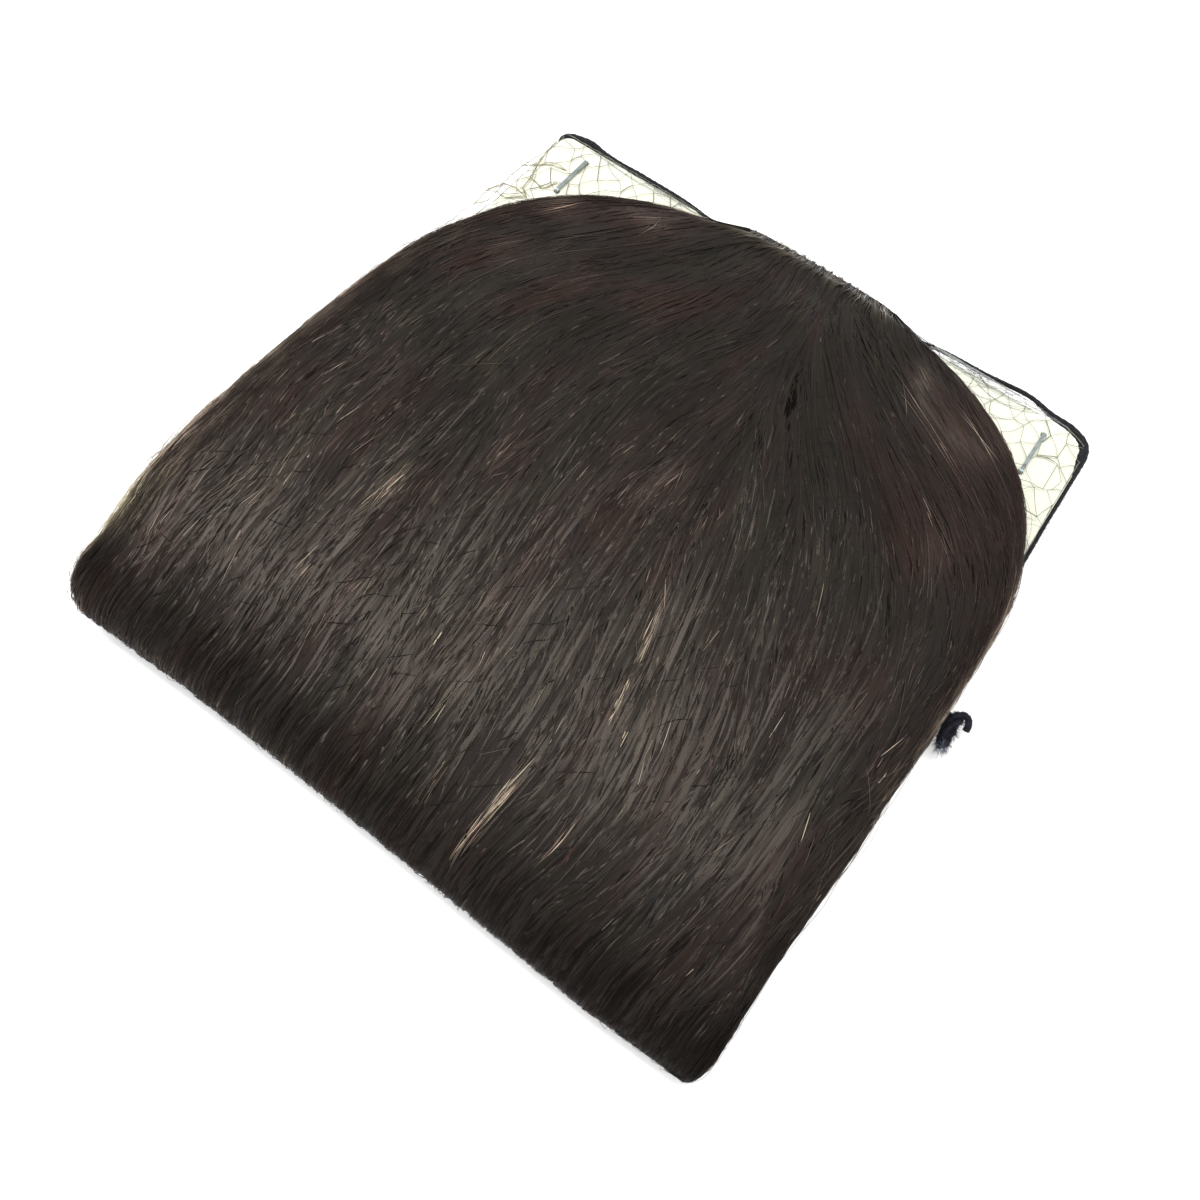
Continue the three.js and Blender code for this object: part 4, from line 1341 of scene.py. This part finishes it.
def band_stitches():
    """Thread sewn round the band between the bundles: pairs of slanting loops over its upper edge."""
    rng = np.random.default_rng(SEED + 9)
    count = BAND_BUNDLES + 1
    x = BAND_X + BAND_PITCH * (np.arange(count) - BAND_BUNDLES / 2) + rng.normal(0, STITCH_UNEVEN, count)
    x = np.concatenate([x, x + STITCH_GAP])[:, None]
    turn = np.linspace(*STITCH_TURN, STITCH_POINTS)[None]
    y = band_edge(x) - BAND_IN + STITCH_LOOP * np.sin(turn)
    z = BAND_Z + STITCH_LOOP * np.cos(turn)
    slanting = x + rng.normal(*STITCH_SLANT, x.shape) * np.cos(turn)
    lines = np.stack(np.broadcast_arrays(slanting, y, z), -1)
    ups = unit(np.stack(np.broadcast_arrays(0 * y, np.sin(turn), np.cos(turn)), -1))
    size = np.full(y.shape, STITCH_SIZE)
    shape = tubes(lines, ups, size, size, STITCH_SIDES)
    piece("weft_stitches", shape, thread_finish("stitch_thread"))


def band_fuzz():
    """Short fibres that stand off the band's upper edge."""
    rng = np.random.default_rng(SEED + 10)
    x = BAND_X + BAND_HALF * np.linspace(-1, 1, FIBRE_POINTS)
    line = np.stack([x, band_edge(x) - FIBRE_IN, np.full_like(x, BAND_Z + FIBRE_RISE)], -1)
    shape = fuzz(line, FIBRE_RADIUS, FIBRE_COUNT, FIBRE_REACH, FIBRE_SIZE, rng)
    piece("weft_fuzz", shape, thread_finish("band_fuzz"))


def build_band():
    """The sewn band: core, bundles of hair over it, the thread that holds them and loose fibres."""
    band_core()
    band_bundles()
    band_stitches()
    band_fuzz()


# Net

# The net's diamond mesh: width of a cell, height of half a cell by its width, how unevenly its corners
# lie, how far a thread bows for its length, and its columns of cells
NET_CELL = 5.4
NET_ROW = 0.62
NET_UNEVEN = 0.16
NET_BOW = 0.05
NET_COLUMNS = (-17, 18)
# The net's rim at each top corner: how far out and how high it lies, and how far along the slant that
# cuts the corner, in this direction
NET_RIM = {-1: (75.9, 81.0, 106.0), 1: (75.2, 83.0, 102.2)}
RIM_SLANT = np.array([0.403, 0.915])
# The one wide cell at the right: its middle, its radius and the least distance that counts in pushing
# threads off
BIG_CELL = np.array([69.8, 66.6])
BIG_CELL_RADIUS = 4.3
BIG_CELL_LEAST = 0.2
# The mesh over a corner: its rows and the points of a thread. A thread is kept if it goes no further
# under the hair, comes this far out of it and is long enough
CORNER_ROWS = (-5, 30)
CORNER_POINTS = 7
CORNER_UNDER = 2.0
CORNER_OUT = 0.3
CORNER_LENGTH = 1.0
# Its height over the card, how much higher it comes off the hair, over what distance, and a slight wave
CORNER_LIFT = 0.55
CORNER_RISE = 1.5
CORNER_RISE_RUN = 9
CORNER_WAVE = 0.1
CORNER_WAVE_TURN = 1.7
# Beyond this x and y, threads drop by the card's side, over a distance
CORNER_EDGE = (75.0, 81.2)
CORNER_DROP = 0.9
CORNER_DROP_RUN = 1.0
# Half sizes of its threads, and the share of threads with each
CORNER_SIZES = (0.05, 0.07, 0.12)
CORNER_SHARES = (0.45, 0.4, 0.15)
# Fine threads along the elastic: how many at each corner, the height that they hang from, where they
# start and how long they are, the x they end by at most, how far they drop on average, and the drop's
# share at their ends
HAZE_COUNT = {-1: 14, 1: 48}
HAZE_TOP = {-1: 81.0, 1: 82.6}
HAZE_START = (26.0, 46.0)
HAZE_LENGTH = (10.0, 30.0)
HAZE_END = 74.0
HAZE_DROP = 1.4
HAZE_END_DROP = 0.4
HAZE_WAVE = 0.15
HAZE_WAVE_TURN = 9
HAZE_WAVE_START = 6
HAZE_LIFT = 0.15
HAZE_RISE = 0.9
HAZE_RISE_RUN = 7
HAZE_SIZE = 0.032
HAZE_POINTS = 12


def net_threads(rows, rng):
    """Diamond mesh of a net on a plane: start and end places of its threads, its corners a little uneven."""
    i, j = np.meshgrid(np.arange(*NET_COLUMNS), np.arange(*rows), indexing="ij")
    places = np.stack([i + 0.5 * (j % 2), j * NET_ROW], -1) + rng.normal(0, NET_UNEVEN, (*i.shape, 2))
    starts, ends = [], []
    for step in (-1, 0):
        low = places[1:-1, :-1]
        odd = (j[1:-1, :-1] % 2) == 1
        near = places[1 + step:places.shape[0] - 1 + step, 1:]
        far = places[2 + step:places.shape[0] + step, 1:]
        starts.append(low.reshape(-1, 2))
        ends.append(np.where(odd[..., None], far, near).reshape(-1, 2))
    return np.concatenate(starts) * NET_CELL, np.concatenate(ends) * NET_CELL


def bowed(starts, ends, points, rng):
    """Lines from starts to ends, each bowed sideways a little by half a sine wave."""
    t = np.linspace(0, 1, points)[None, :, None]
    along = ends - starts
    across = np.stack([-along[:, 1], along[:, 0]], -1)
    bow = rng.normal(0, NET_BOW, (len(starts), 1, 1)) * np.sin(math.pi * t)
    return starts[:, None] * (1 - t) + ends[:, None] * t + across[:, None] * bow


def fan_edge(y, side):
    """x of the hair's edge at height y on one side."""
    return side * Station(HAIR_TOP - y, side).half


def held_in(lines, side):
    """Lines drawn in to the net's rim at a corner: two straight edges and a slanting one across it."""
    wide, high, slanting = NET_RIM[side]
    place = np.minimum(lines * np.array([side, 1.0]), np.array([wide, high]))
    over = np.maximum(place @ RIM_SLANT - slanting, 0.0)
    return (place - over[..., None] * RIM_SLANT) * np.array([side, 1.0])


def outside_hair(x, y, side):
    """How far places are outside the hair's edge on one side."""
    return side * x - side * fan_edge(y, float(side))


def corner_net(name, side, node, finish):
    """The net over a bare corner of the card.

    Threads of the diamond mesh that lie outside the hair are drawn in to the net's rim, pushed off the wide
    cell, and lie a little above the card, higher where they come off the hair.
    """
    rng = np.random.default_rng(SEED + 20 + (side > 0))
    lines = held_in(bowed(*net_threads(CORNER_ROWS, rng), CORNER_POINTS, rng), side)
    if side > 0:
        off = lines - BIG_CELL
        far = np.linalg.norm(off, axis=-1, keepdims=True)
        pushed = BIG_CELL + off / np.maximum(far, BIG_CELL_LEAST) * BIG_CELL_RADIUS
        lines = np.where(far < BIG_CELL_RADIUS, pushed, lines)
    x, y = lines[..., 0], lines[..., 1]
    outside = outside_hair(x, y, side)
    length = np.linalg.norm(np.diff(lines, axis=1), axis=-1).sum(1)
    kept = (outside > -CORNER_UNDER).all(1) & (outside > CORNER_OUT).any(1)
    kept &= (side * x > 0).all(1) & (length > CORNER_LENGTH)
    x, y, outside = x[kept], y[kept], outside[kept]
    z = CARD_FRONT + CORNER_LIFT + CORNER_RISE * smooth(1 - outside / CORNER_RISE_RUN)
    z = z + CORNER_WAVE * np.sin(x * CORNER_WAVE_TURN + y)
    edge = np.maximum(np.abs(x) - CORNER_EDGE[0], y - CORNER_EDGE[1])
    z = z - CORNER_DROP * smooth(edge / CORNER_DROP_RUN)
    threads = np.stack([x, y, z], -1)
    size = rng.choice(CORNER_SIZES, len(threads), p=CORNER_SHARES)[:, None] + 0 * x
    piece(name, round_tubes(threads, size), finish, replaces=[node])


def edge_haze(name, side, finish):
    """Fine threads bunched along the elastic by a corner: each slants a little towards the hair."""
    rng = np.random.default_rng(SEED + 22 + (side > 0))
    count = HAZE_COUNT[side]
    t = np.linspace(0, 1, HAZE_POINTS)[None]
    start = rng.uniform(*HAZE_START, count)[:, None]
    x = np.minimum(start + rng.uniform(*HAZE_LENGTH, count)[:, None] * t, HAZE_END)
    drop = rng.exponential(HAZE_DROP, count)[:, None]
    y = HAZE_TOP[side] - drop * (HAZE_END_DROP + (1 - HAZE_END_DROP) * np.sin(math.pi * t))
    y = y - HAZE_WAVE * np.sin(HAZE_WAVE_TURN * t + HAZE_WAVE_START * start)
    z = CARD_FRONT + HAZE_LIFT + HAZE_RISE * smooth(1 - outside_hair(side * x, y, side) / HAZE_RISE_RUN)
    rim = held_in(np.stack([side * x, y], -1), side)
    lines = np.concatenate([rim, z[..., None]], -1)
    piece(name, round_tubes(lines, np.full(x.shape, HAZE_SIZE)), finish)


# Loose net beyond the card's left edge: the places that each thread is drawn through
LOOSE_NET = (
    ((-75.9, 77.3), (-75.6, 71.7), (-74.8, 67.7), (-73.5, 63.2), (-72.8, 59.1)),
    ((-77.6, 64.8), (-76.8, 65.9), (-74.8, 67.7), (-71.6, 70.3), (-68.1, 70.9)),
    ((-72.8, 59.1), (-70.1, 57.4), (-74.0, 58.0), (-77.5, 57.4), (-79.2, 52.5)),
    ((-77.5, 57.4), (-77.0, 54.0), (-79.2, 52.5), (-78.8, 47.2), (-79.7, 42.7)),
    ((-78.8, 47.2), (-76.9, 50.3), (-77.0, 54.0), (-74.2, 54.0), (-70.1, 57.4)),
    ((-79.7, 42.7), (-79.5, 40.1), (-79.9, 38.3), (-80.6, 35.7), (-80.8, 34.7)),
    ((-77.6, 64.8), (-77.6, 61.3), (-77.5, 57.4), (-78.5, 55.1), (-79.2, 52.5)),
    ((-75.9, 77.3), (-75.9, 74.3), (-76.3, 71.2), (-76.9, 67.5), (-77.6, 64.8)),
    ((-73.5, 63.2), (-71.2, 62.8), (-69.2, 62.0), (-68.0, 63.5), (-67.0, 66.0)),
)


# Finer threads that stray from each of them, how far they stray, the points between two places, a slight
# wave, the height over the card, and the half sizes of the main and the finer threads
LOOSE_FINER = 3
LOOSE_STRAY = 0.5
LOOSE_POINTS = 4
LOOSE_WAVE = 0.15
LOOSE_WAVE_TURN = 3
LOOSE_WAVE_START = 6
LOOSE_LIFT = 0.2
LOOSE_SIZES = (0.10, 0.04)


def edge_bunch(finish):
    """Loose net beyond the card's left edge: kinked main threads and finer ones that stray from each."""
    rng = np.random.default_rng(SEED + 24)
    main = np.array(LOOSE_NET)
    lines = np.concatenate([main, np.repeat(main, LOOSE_FINER, axis=0)])
    finer = (np.arange(len(lines)) >= len(main))[:, None]
    lines = lines + rng.normal(0, LOOSE_STRAY, lines.shape) * finer[..., None]
    stretches = main.shape[1] - 1
    t = np.linspace(0, stretches, stretches * LOOSE_POINTS + 1)
    low = np.minimum(t.astype(int), stretches - 1)
    share = (t - low)[:, None]
    lines = lines[:, low] * (1 - share) + lines[:, low + 1] * share
    start = rng.uniform(0, LOOSE_WAVE_START, (len(lines), 1))
    z = CARD_FRONT + LOOSE_LIFT + LOOSE_WAVE * np.sin(LOOSE_WAVE_TURN * t + start)
    lines = np.concatenate([lines, z[..., None]], -1)
    size = np.where(finer, LOOSE_SIZES[1], LOOSE_SIZES[0]) + 0 * z
    piece("net_bunch", round_tubes(lines, size), finish)


# The net over the hair: its rows, the share of the width that it covers, half size of its threads and how
# much thicker some of them are, the share of one way's threads that are, the runs between which they grow
# so, and how thick they are along their four points. Then its height over the hair in front and behind,
# and where it starts and ends
DRAPED_ROWS = (0, 80)
DRAPED_PLACE = 0.97
DRAPED_SIZE = 0.013
DRAPED_THICKER = 0.075
DRAPED_PICKED = 0.22
DRAPED_RUN = (90.0, 120.0)
DRAPED_SWELL = (0.4, 1.0, 1.0, 0.4)
NET_LIFT = 0.16
NET_LIFT_BEHIND = -0.1
NET_START = 6.0
NET_END = FULL_RUN - 8


def draped_net(name, low, high, lift, finish):
    """The net over the hair between two distances run: the diamond mesh laid on the hair's face."""
    rng = np.random.default_rng(SEED + int(low))
    lines = bowed(*net_threads(DRAPED_ROWS, rng), len(DRAPED_SWELL), rng)
    x, q = lines[..., 0], lines[..., 1]
    v = face_share(np.clip(q, 0, FULL_RUN), x)
    kept = (np.abs(v) < DRAPED_PLACE).all(1) & (q > low).all(1) & (q < high).all(1)
    one_way = (np.arange(len(q)) < len(q) // 2)[kept, None]
    q, v = q[kept], v[kept]
    up = hair_normal(q, v)
    threads = hair_place(q, v) + up * (lift + lock_height(q, flow_line(q, v)))[..., None]
    picked = one_way & (rng.random((len(q), 1)) < DRAPED_PICKED)
    size = DRAPED_SIZE + DRAPED_THICKER * picked * rising(q, DRAPED_RUN) * np.array(DRAPED_SWELL)
    piece(name, tubes(above_floor(threads), up, size, size), finish)


def build_net():
    """The net: over the two bare corners, over the hair in front and behind."""
    thread = thread_finish("net_thread")
    haze = thread_finish("net_thread_fine")
    dark = thread_finish("net_thread_dark")
    corner_net("net_corner_left", -1, "net_left", thread)
    corner_net("net_corner_right", 1, "net_right", thread)
    edge_haze("net_haze_left", -1, haze)
    edge_haze("net_haze_right", 1, haze)
    edge_bunch(thread_finish("net_thread_olive"))
    draped_net("net_over_hair", NET_START, BACK_START, NET_LIFT, dark)
    draped_net("net_behind", BACK_START, NET_END, NET_LIFT_BEHIND, dark)


# Net elastic and its knot

# The elastic's way: up the right edge, along the top edge, and slantwise across the card's back to the
# start
ELASTIC_ROUTE = (
    (78.7, 1.3, 4.3), (78.7, 6.0, 4.3), (77.0, 13.0, 5.2), (76.4, 25.0, 5.8), (76.1, 48.0, 5.8),
    (76.0, 56.0, 5.8), (76.0, 64.5, 5.8), (75.6, 73.2, 5.8), (74.1, 80.2, 5.8), (70.4, 82.3, 5.8),
    (64.8, 82.9, 5.8), (58.7, 84.4, 5.8), (47.3, 83.4, 5.8), (35.5, 82.8, 5.8), (27.5, 80.2, 6.8),
    (20.0, 79.4, 6.9), (0.0, 79.2, 7.0), (-20.0, 79.0, 6.9), (-27.0, 79.6, 6.8), (-34.5, 81.5, 5.8),
    (-47.2, 81.9, 5.8), (-56.3, 81.7, 5.8), (-64.3, 82.0, 5.8), (-69.3, 82.7, 5.8),
    (-74.0, 81.7, 5.6), (-76.4, 80.2, 4.7), (-74.6, 78.6, 3.5), (-72.1, 76.4, 4.0), (-65.5, 70.0, 4.1),
    (0.0, 39.0, 4.1), (65.5, 3.4, 4.1), (73.1, -4.6, 3.9), (77.5, -7.4, 4.3), (78.7, -4.0, 4.3),
    (78.7, 0.7, 4.3),
)
ELASTIC_RADIUS = 0.5
ELASTIC_POINTS = 760
ELASTIC_SIDES = 10
# Its swellings: share of the radius and points in a cell, then the same of its wound ridges as points by
# turn
SWELL_SHARE = 0.07
SWELL_CELL = 9
RIDGE_SHARE = 0.05
RIDGE_TURN = 1.9
# A direction that no stretch of the elastic runs in, which its rings are turned to
RING_UP = np.array([0.31, 0.17, 0.93])
# Its fuzz where it is seen and all round: how many fibres, then their reach and half size
SEEN_FIBRES = 3000
ALL_FIBRES = 600
ELASTIC_FIBRE = (0.6, 0.035)
# Where the elastic is bunched thicker: x, y, reach and added radius
ELASTIC_BUNCHES = (
    (75.0, 77.0, 5.0, 0.75),
    (68.0, 81.5, 6.0, 0.3),
    (-75.0, 81.0, 2.4, 0.45),
    (-68.0, 82.4, 7.0, 0.5),
    (-54.0, 82.0, 9.0, 0.45),
    (-40.0, 82.0, 9.0, 0.4),
)


CURVE_POINTS = 40


def curve_through(route, steps):
    """Places evenly spaced along a centripetal Catmull-Rom curve through the route's points."""
    p = np.array(route, float)
    p = np.concatenate([[2 * p[0] - p[1]], p, [2 * p[-1] - p[-2]]])
    knots = np.concatenate([[0], np.cumsum(np.sqrt(np.linalg.norm(np.diff(p, axis=0), axis=1)))])
    u = np.linspace(knots[1], knots[-2], CURVE_POINTS * len(route))
    i = np.clip(np.searchsorted(knots, u, side="right") - 1, 1, len(p) - 3)
    u = u[:, None]
    k = [knots[i + d][:, None] for d in (-1, 0, 1, 2)]
    a = [((k[d + 1] - u) * p[i + d - 1] + (u - k[d]) * p[i + d]) / (k[d + 1] - k[d]) for d in (0, 1, 2)]
    b = [((k[d + 2] - u) * a[d] + (u - k[d]) * a[d + 1]) / (k[d + 2] - k[d]) for d in (0, 1)]
    c = ((k[2] - u) * b[0] + (u - k[1]) * b[1]) / (k[2] - k[1])
    far = np.concatenate([[0], np.cumsum(np.linalg.norm(np.diff(c, axis=0), axis=1))])
    even = np.linspace(0, far[-1], steps)
    return np.stack([np.interp(even, far, c[:, axis]) for axis in range(3)], -1)


def elastic_tube(line, radius):
    """A covered elastic: a tube with wound ridges and small swellings along it."""
    count = np.arange(len(line))
    swell = SWELL_SHARE * patches(count / SWELL_CELL, np.zeros(len(line)), SEED + 30)
    size = (radius * (1 + swell + RIDGE_SHARE * np.sin(count * RIDGE_TURN)))[None]
    return tubes(line[None], np.broadcast_to(RING_UP, (1, len(line), 3)), size, size, ELASTIC_SIDES)


# A fibre: its points, the share of the cord's radius that it starts at, the ranges of its length and
# slant, how far it curls, how much it thins, and the range of its thickness
FIBRE_STEPS = 4
FIBRE_FROM = 0.8
FIBRE_LENGTH = (0.4, 1.0)
FIBRE_SLANT = (-1.2, 1.2)
FIBRE_CURL = 0.5
FIBRE_THIN = 0.6
FIBRE_THICK = (0.7, 1.3)


def fuzz(line, radius, count, reach, thick, rng):
    """Short fibres that stand off a cord: each starts in it, leaves at a slant and curls over."""
    pick = rng.integers(1, len(line) - 1, count)
    along = unit(line[pick + 1] - line[pick - 1])
    out = unit(np.cross(along, rng.normal(size=(count, 3))))
    size = np.broadcast_to(radius, (len(line),))[pick]
    t = np.linspace(0, 1, FIBRE_STEPS)[None, :, None]
    long = (rng.uniform(*FIBRE_LENGTH, count) * reach)[:, None, None]
    slant = rng.uniform(*FIBRE_SLANT, count)[:, None, None]
    curl = rng.normal(0, FIBRE_CURL, (count, 1, 3))
    lines = line[pick][:, None] + out[:, None] * (size[:, None, None] * FIBRE_FROM + long * t)
    lines = above_floor(lines + along[:, None] * slant * long * t + curl * long * t * t)
    ups = unit(np.cross(out, along))[:, None] + 0 * lines
    wide = thick * (1 - FIBRE_THIN * t[..., 0]) * rng.uniform(*FIBRE_THICK, (count, 1))
    return tubes(lines, ups, wide, wide)


def build_elastic():
    """The net's elastic rim along its route, thicker where it is bunched, with a fuzzy outline."""
    rng = np.random.default_rng(SEED + 11)
    line = curve_through(ELASTIC_ROUTE, ELASTIC_POINTS)
    radius = np.full(len(line), ELASTIC_RADIUS)
    for x, y, reach, more in ELASTIC_BUNCHES:
        radius = radius + more * bell(line[:, 0], line[:, 1], x, y, reach)
    seen = line[:, 2] > CARD_BACK
    shown = fuzz(line[seen], radius[seen], SEEN_FIBRES, *ELASTIC_FIBRE, rng)
    shape = joined([elastic_tube(line, radius), shown, fuzz(line, radius, ALL_FIBRES, *ELASTIC_FIBRE, rng)])
    piece("net_elastic_cord", shape, thread_finish("elastic"), replaces=["net_elastic"])


# The knot: a few strands wound about an axis from its top to its foot, with how many turns, how much of a
# sway and how often, the half width of the winding and of its bulge, its share along y, and a strand's
# radius and thinning
KNOT_TOP = np.array([80.9, 5.2, 4.5])
KNOT_FOOT = np.array([81.4, -1.9, 4.0])
KNOT_STRANDS = 5
KNOT_POINTS = 30
KNOT_TURNS = 0.55
KNOT_SWAY = 0.4
KNOT_SWAY_TURN = 5
KNOT_WIDE = 1.15
KNOT_WAIST = 0.75
KNOT_BULGE = 0.35
KNOT_BULGE_SHIFT = 0.5
KNOT_ALONG = 0.3
KNOT_LENGTH = (0.86, 1.06)
KNOT_STRAND = 0.72
KNOT_THIN = 0.25
# Its hooked tail above
KNOT_HOOK = (
    (80.9, 3.2, 4.6), (81.0, 5.2, 5.0), (81.8, 6.3, 5.0),
    (83.0, 6.2, 4.8), (83.7, 5.1, 4.6), (83.8, 3.9, 4.4),
)
HOOK_POINTS = 40
HOOK_RADIUS = 0.68
# Its frayed ends below: a line from its foot, and the radius of that
FRAY_LINE = np.array(
    [[-0.4, 0.9, 0.2], [-0.2, 0.2, 0.3], [0.0, -0.5, 0.4], [0.1, -1.2, 0.4], [0.2, -1.6, 0.4]])
FRAY_RADIUS = 0.7
# Fibres on each strand, on the hook and at the frayed ends: how many, their reach and half size
STRAND_FIBRES = (320, 0.9, 0.045)
HOOK_FIBRES = (380, 0.45, 0.035)
FRAY_FIBRES = (190, 1.2, 0.035)


def build_knot():
    """The knot in the elastic, covered in fuzz, with pale fibres where its ends are frayed."""
    rng = np.random.default_rng(SEED + 12)
    t = np.linspace(0, 1, KNOT_POINTS)
    shapes = []
    for number in range(KNOT_STRANDS):
        turn = 2 * math.pi * (number / KNOT_STRANDS + KNOT_TURNS * t)
        turn = turn + KNOT_SWAY * np.sin(KNOT_SWAY_TURN * t + number)
        wide = KNOT_WIDE * (KNOT_WAIST + KNOT_BULGE * np.sin(math.pi * t + KNOT_BULGE_SHIFT * number))
        strand = KNOT_TOP + (KNOT_FOOT - KNOT_TOP) * t[:, None] * rng.uniform(*KNOT_LENGTH)
        strand = strand + np.stack([wide * np.cos(turn), KNOT_ALONG * np.sin(turn), wide * np.sin(turn)], -1)
        size = KNOT_STRAND * (1 - KNOT_THIN * t)
        shapes += [elastic_tube(strand, size), fuzz(strand, size, *STRAND_FIBRES, rng)]
    hook = curve_through(KNOT_HOOK, HOOK_POINTS)
    shapes += [elastic_tube(hook, HOOK_RADIUS), fuzz(hook, HOOK_RADIUS, *HOOK_FIBRES, rng)]
    knot = thread_finish("elastic_knot")
    piece("elastic_knot_wound", joined(shapes), knot, replaces=["elastic_knot"])
    fray = fuzz(KNOT_FOOT + FRAY_LINE, FRAY_RADIUS, *FRAY_FIBRES, rng)
    piece("elastic_fray", fray, thread_finish("elastic_fray"))


# Camera, light and floor

CAMERA_PLACE = (43.53, -79.78, 174.82)
CAMERA_RIGHT = (0.80217, 0.59480, 0.05234)
CAMERA_UP = (-0.56700, 0.73134, 0.37902)
CAMERA_BACK = (0.18716, -0.33371, 0.92391)
CAMERA_LENS = 26.66
SENSOR = 36.0
# In metres: what the camera sees between, and half the floor's side
CAMERA_CLIP = (0.01, 20.0)
FLOOR_HALF = 4.0
SURROUNDINGS = 0.68
# Each soft light: its place, the point that it faces, its length, its width, its twist in degrees and its
# power
SOFT_LIGHTS = {
    "key": ((-125.0, 37.0, 640.0), (0.0, -20.0, 10.0), 740.0, 95.0, 14.0, 4.1),
    "fill": ((90.0, -640.0, 330.0), (0.0, -60.0, 5.0), 700.0, 420.0, 0.0, 1.0),
}


def in_frame(place):
    """A place in card millimetres as metres in the model's frame."""
    return (np.array(place) + ORIGIN) * MM


def build_camera():
    """The camera at the photograph's angle."""
    data = bpy.data.cameras.new("camera")
    data.lens = CAMERA_LENS
    data.sensor_width = SENSOR
    data.clip_start, data.clip_end = CAMERA_CLIP
    made = bpy.data.objects.new("camera", data)
    turn = Matrix((CAMERA_RIGHT, CAMERA_UP, CAMERA_BACK)).transposed().to_4x4()
    made.matrix_world = Matrix.Translation(in_frame(CAMERA_PLACE)) @ turn
    bpy.context.scene.collection.objects.link(made)
    bpy.context.scene.camera = made


def soft_light(name, place, aim, long, wide, twist, power):
    """A soft light at a place, facing an aim point, its length turned by a twist from the x axis."""
    data = bpy.data.lights.new(name, "AREA")
    data.shape = "RECTANGLE"
    data.size = long * MM
    data.size_y = wide * MM
    data.energy = power
    made = bpy.data.objects.new(name, data)
    back = unit(np.array(place, float) - np.array(aim, float))
    angle = math.radians(twist)
    right = unit(np.cross((-math.sin(angle), math.cos(angle), 0.0), back))
    turn = Matrix((right, np.cross(back, right), back)).transposed().to_4x4()
    made.matrix_world = Matrix.Translation(in_frame(place)) @ turn
    bpy.context.scene.collection.objects.link(made)


def build_stage():
    """Pale floor and surroundings, a long soft light high over the card and a weak one low in front."""
    mesh = bpy.data.meshes.new("floor")
    corners = [(x * FLOOR_HALF, y * FLOOR_HALF, 0) for x, y in ((-1, -1), (1, -1), (1, 1), (-1, 1))]
    mesh.from_pydata(corners, [], [(0, 1, 2, 3)])
    mesh.materials.append(floor_finish())
    floor = bpy.data.objects.new("floor", mesh)
    bpy.context.scene.collection.objects.link(floor)
    world = bpy.data.worlds.new("surroundings")
    world.use_nodes = True
    background = world.node_tree.nodes["Background"]
    background.inputs["Color"].default_value = (1.0, 1.0, 1.0, 1.0)
    background.inputs["Strength"].default_value = SURROUNDINGS
    bpy.context.scene.world = world
    for name, light in SOFT_LIGHTS.items():
        soft_light(name, *light)
    bpy.context.scene.view_settings.view_transform = "Standard"


def dress(node, finish):
    """Gives a CAD node one finish."""
    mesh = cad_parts[node].data
    mesh.materials.clear()
    mesh.materials.append(finish)


def build_card():
    """Finishes of the card, the staples and the clip, whose CAD shapes stay."""
    dress("card", card_finish())
    staple = steel_finish("staple_steel")
    dress("staple_left", staple)
    dress("staple_right", staple)
    dress("snap_clip", steel_finish("clip_steel"))


build_camera()
build_stage()
build_card()
build_hair()
build_band()
build_net()
build_elastic()
build_knot()
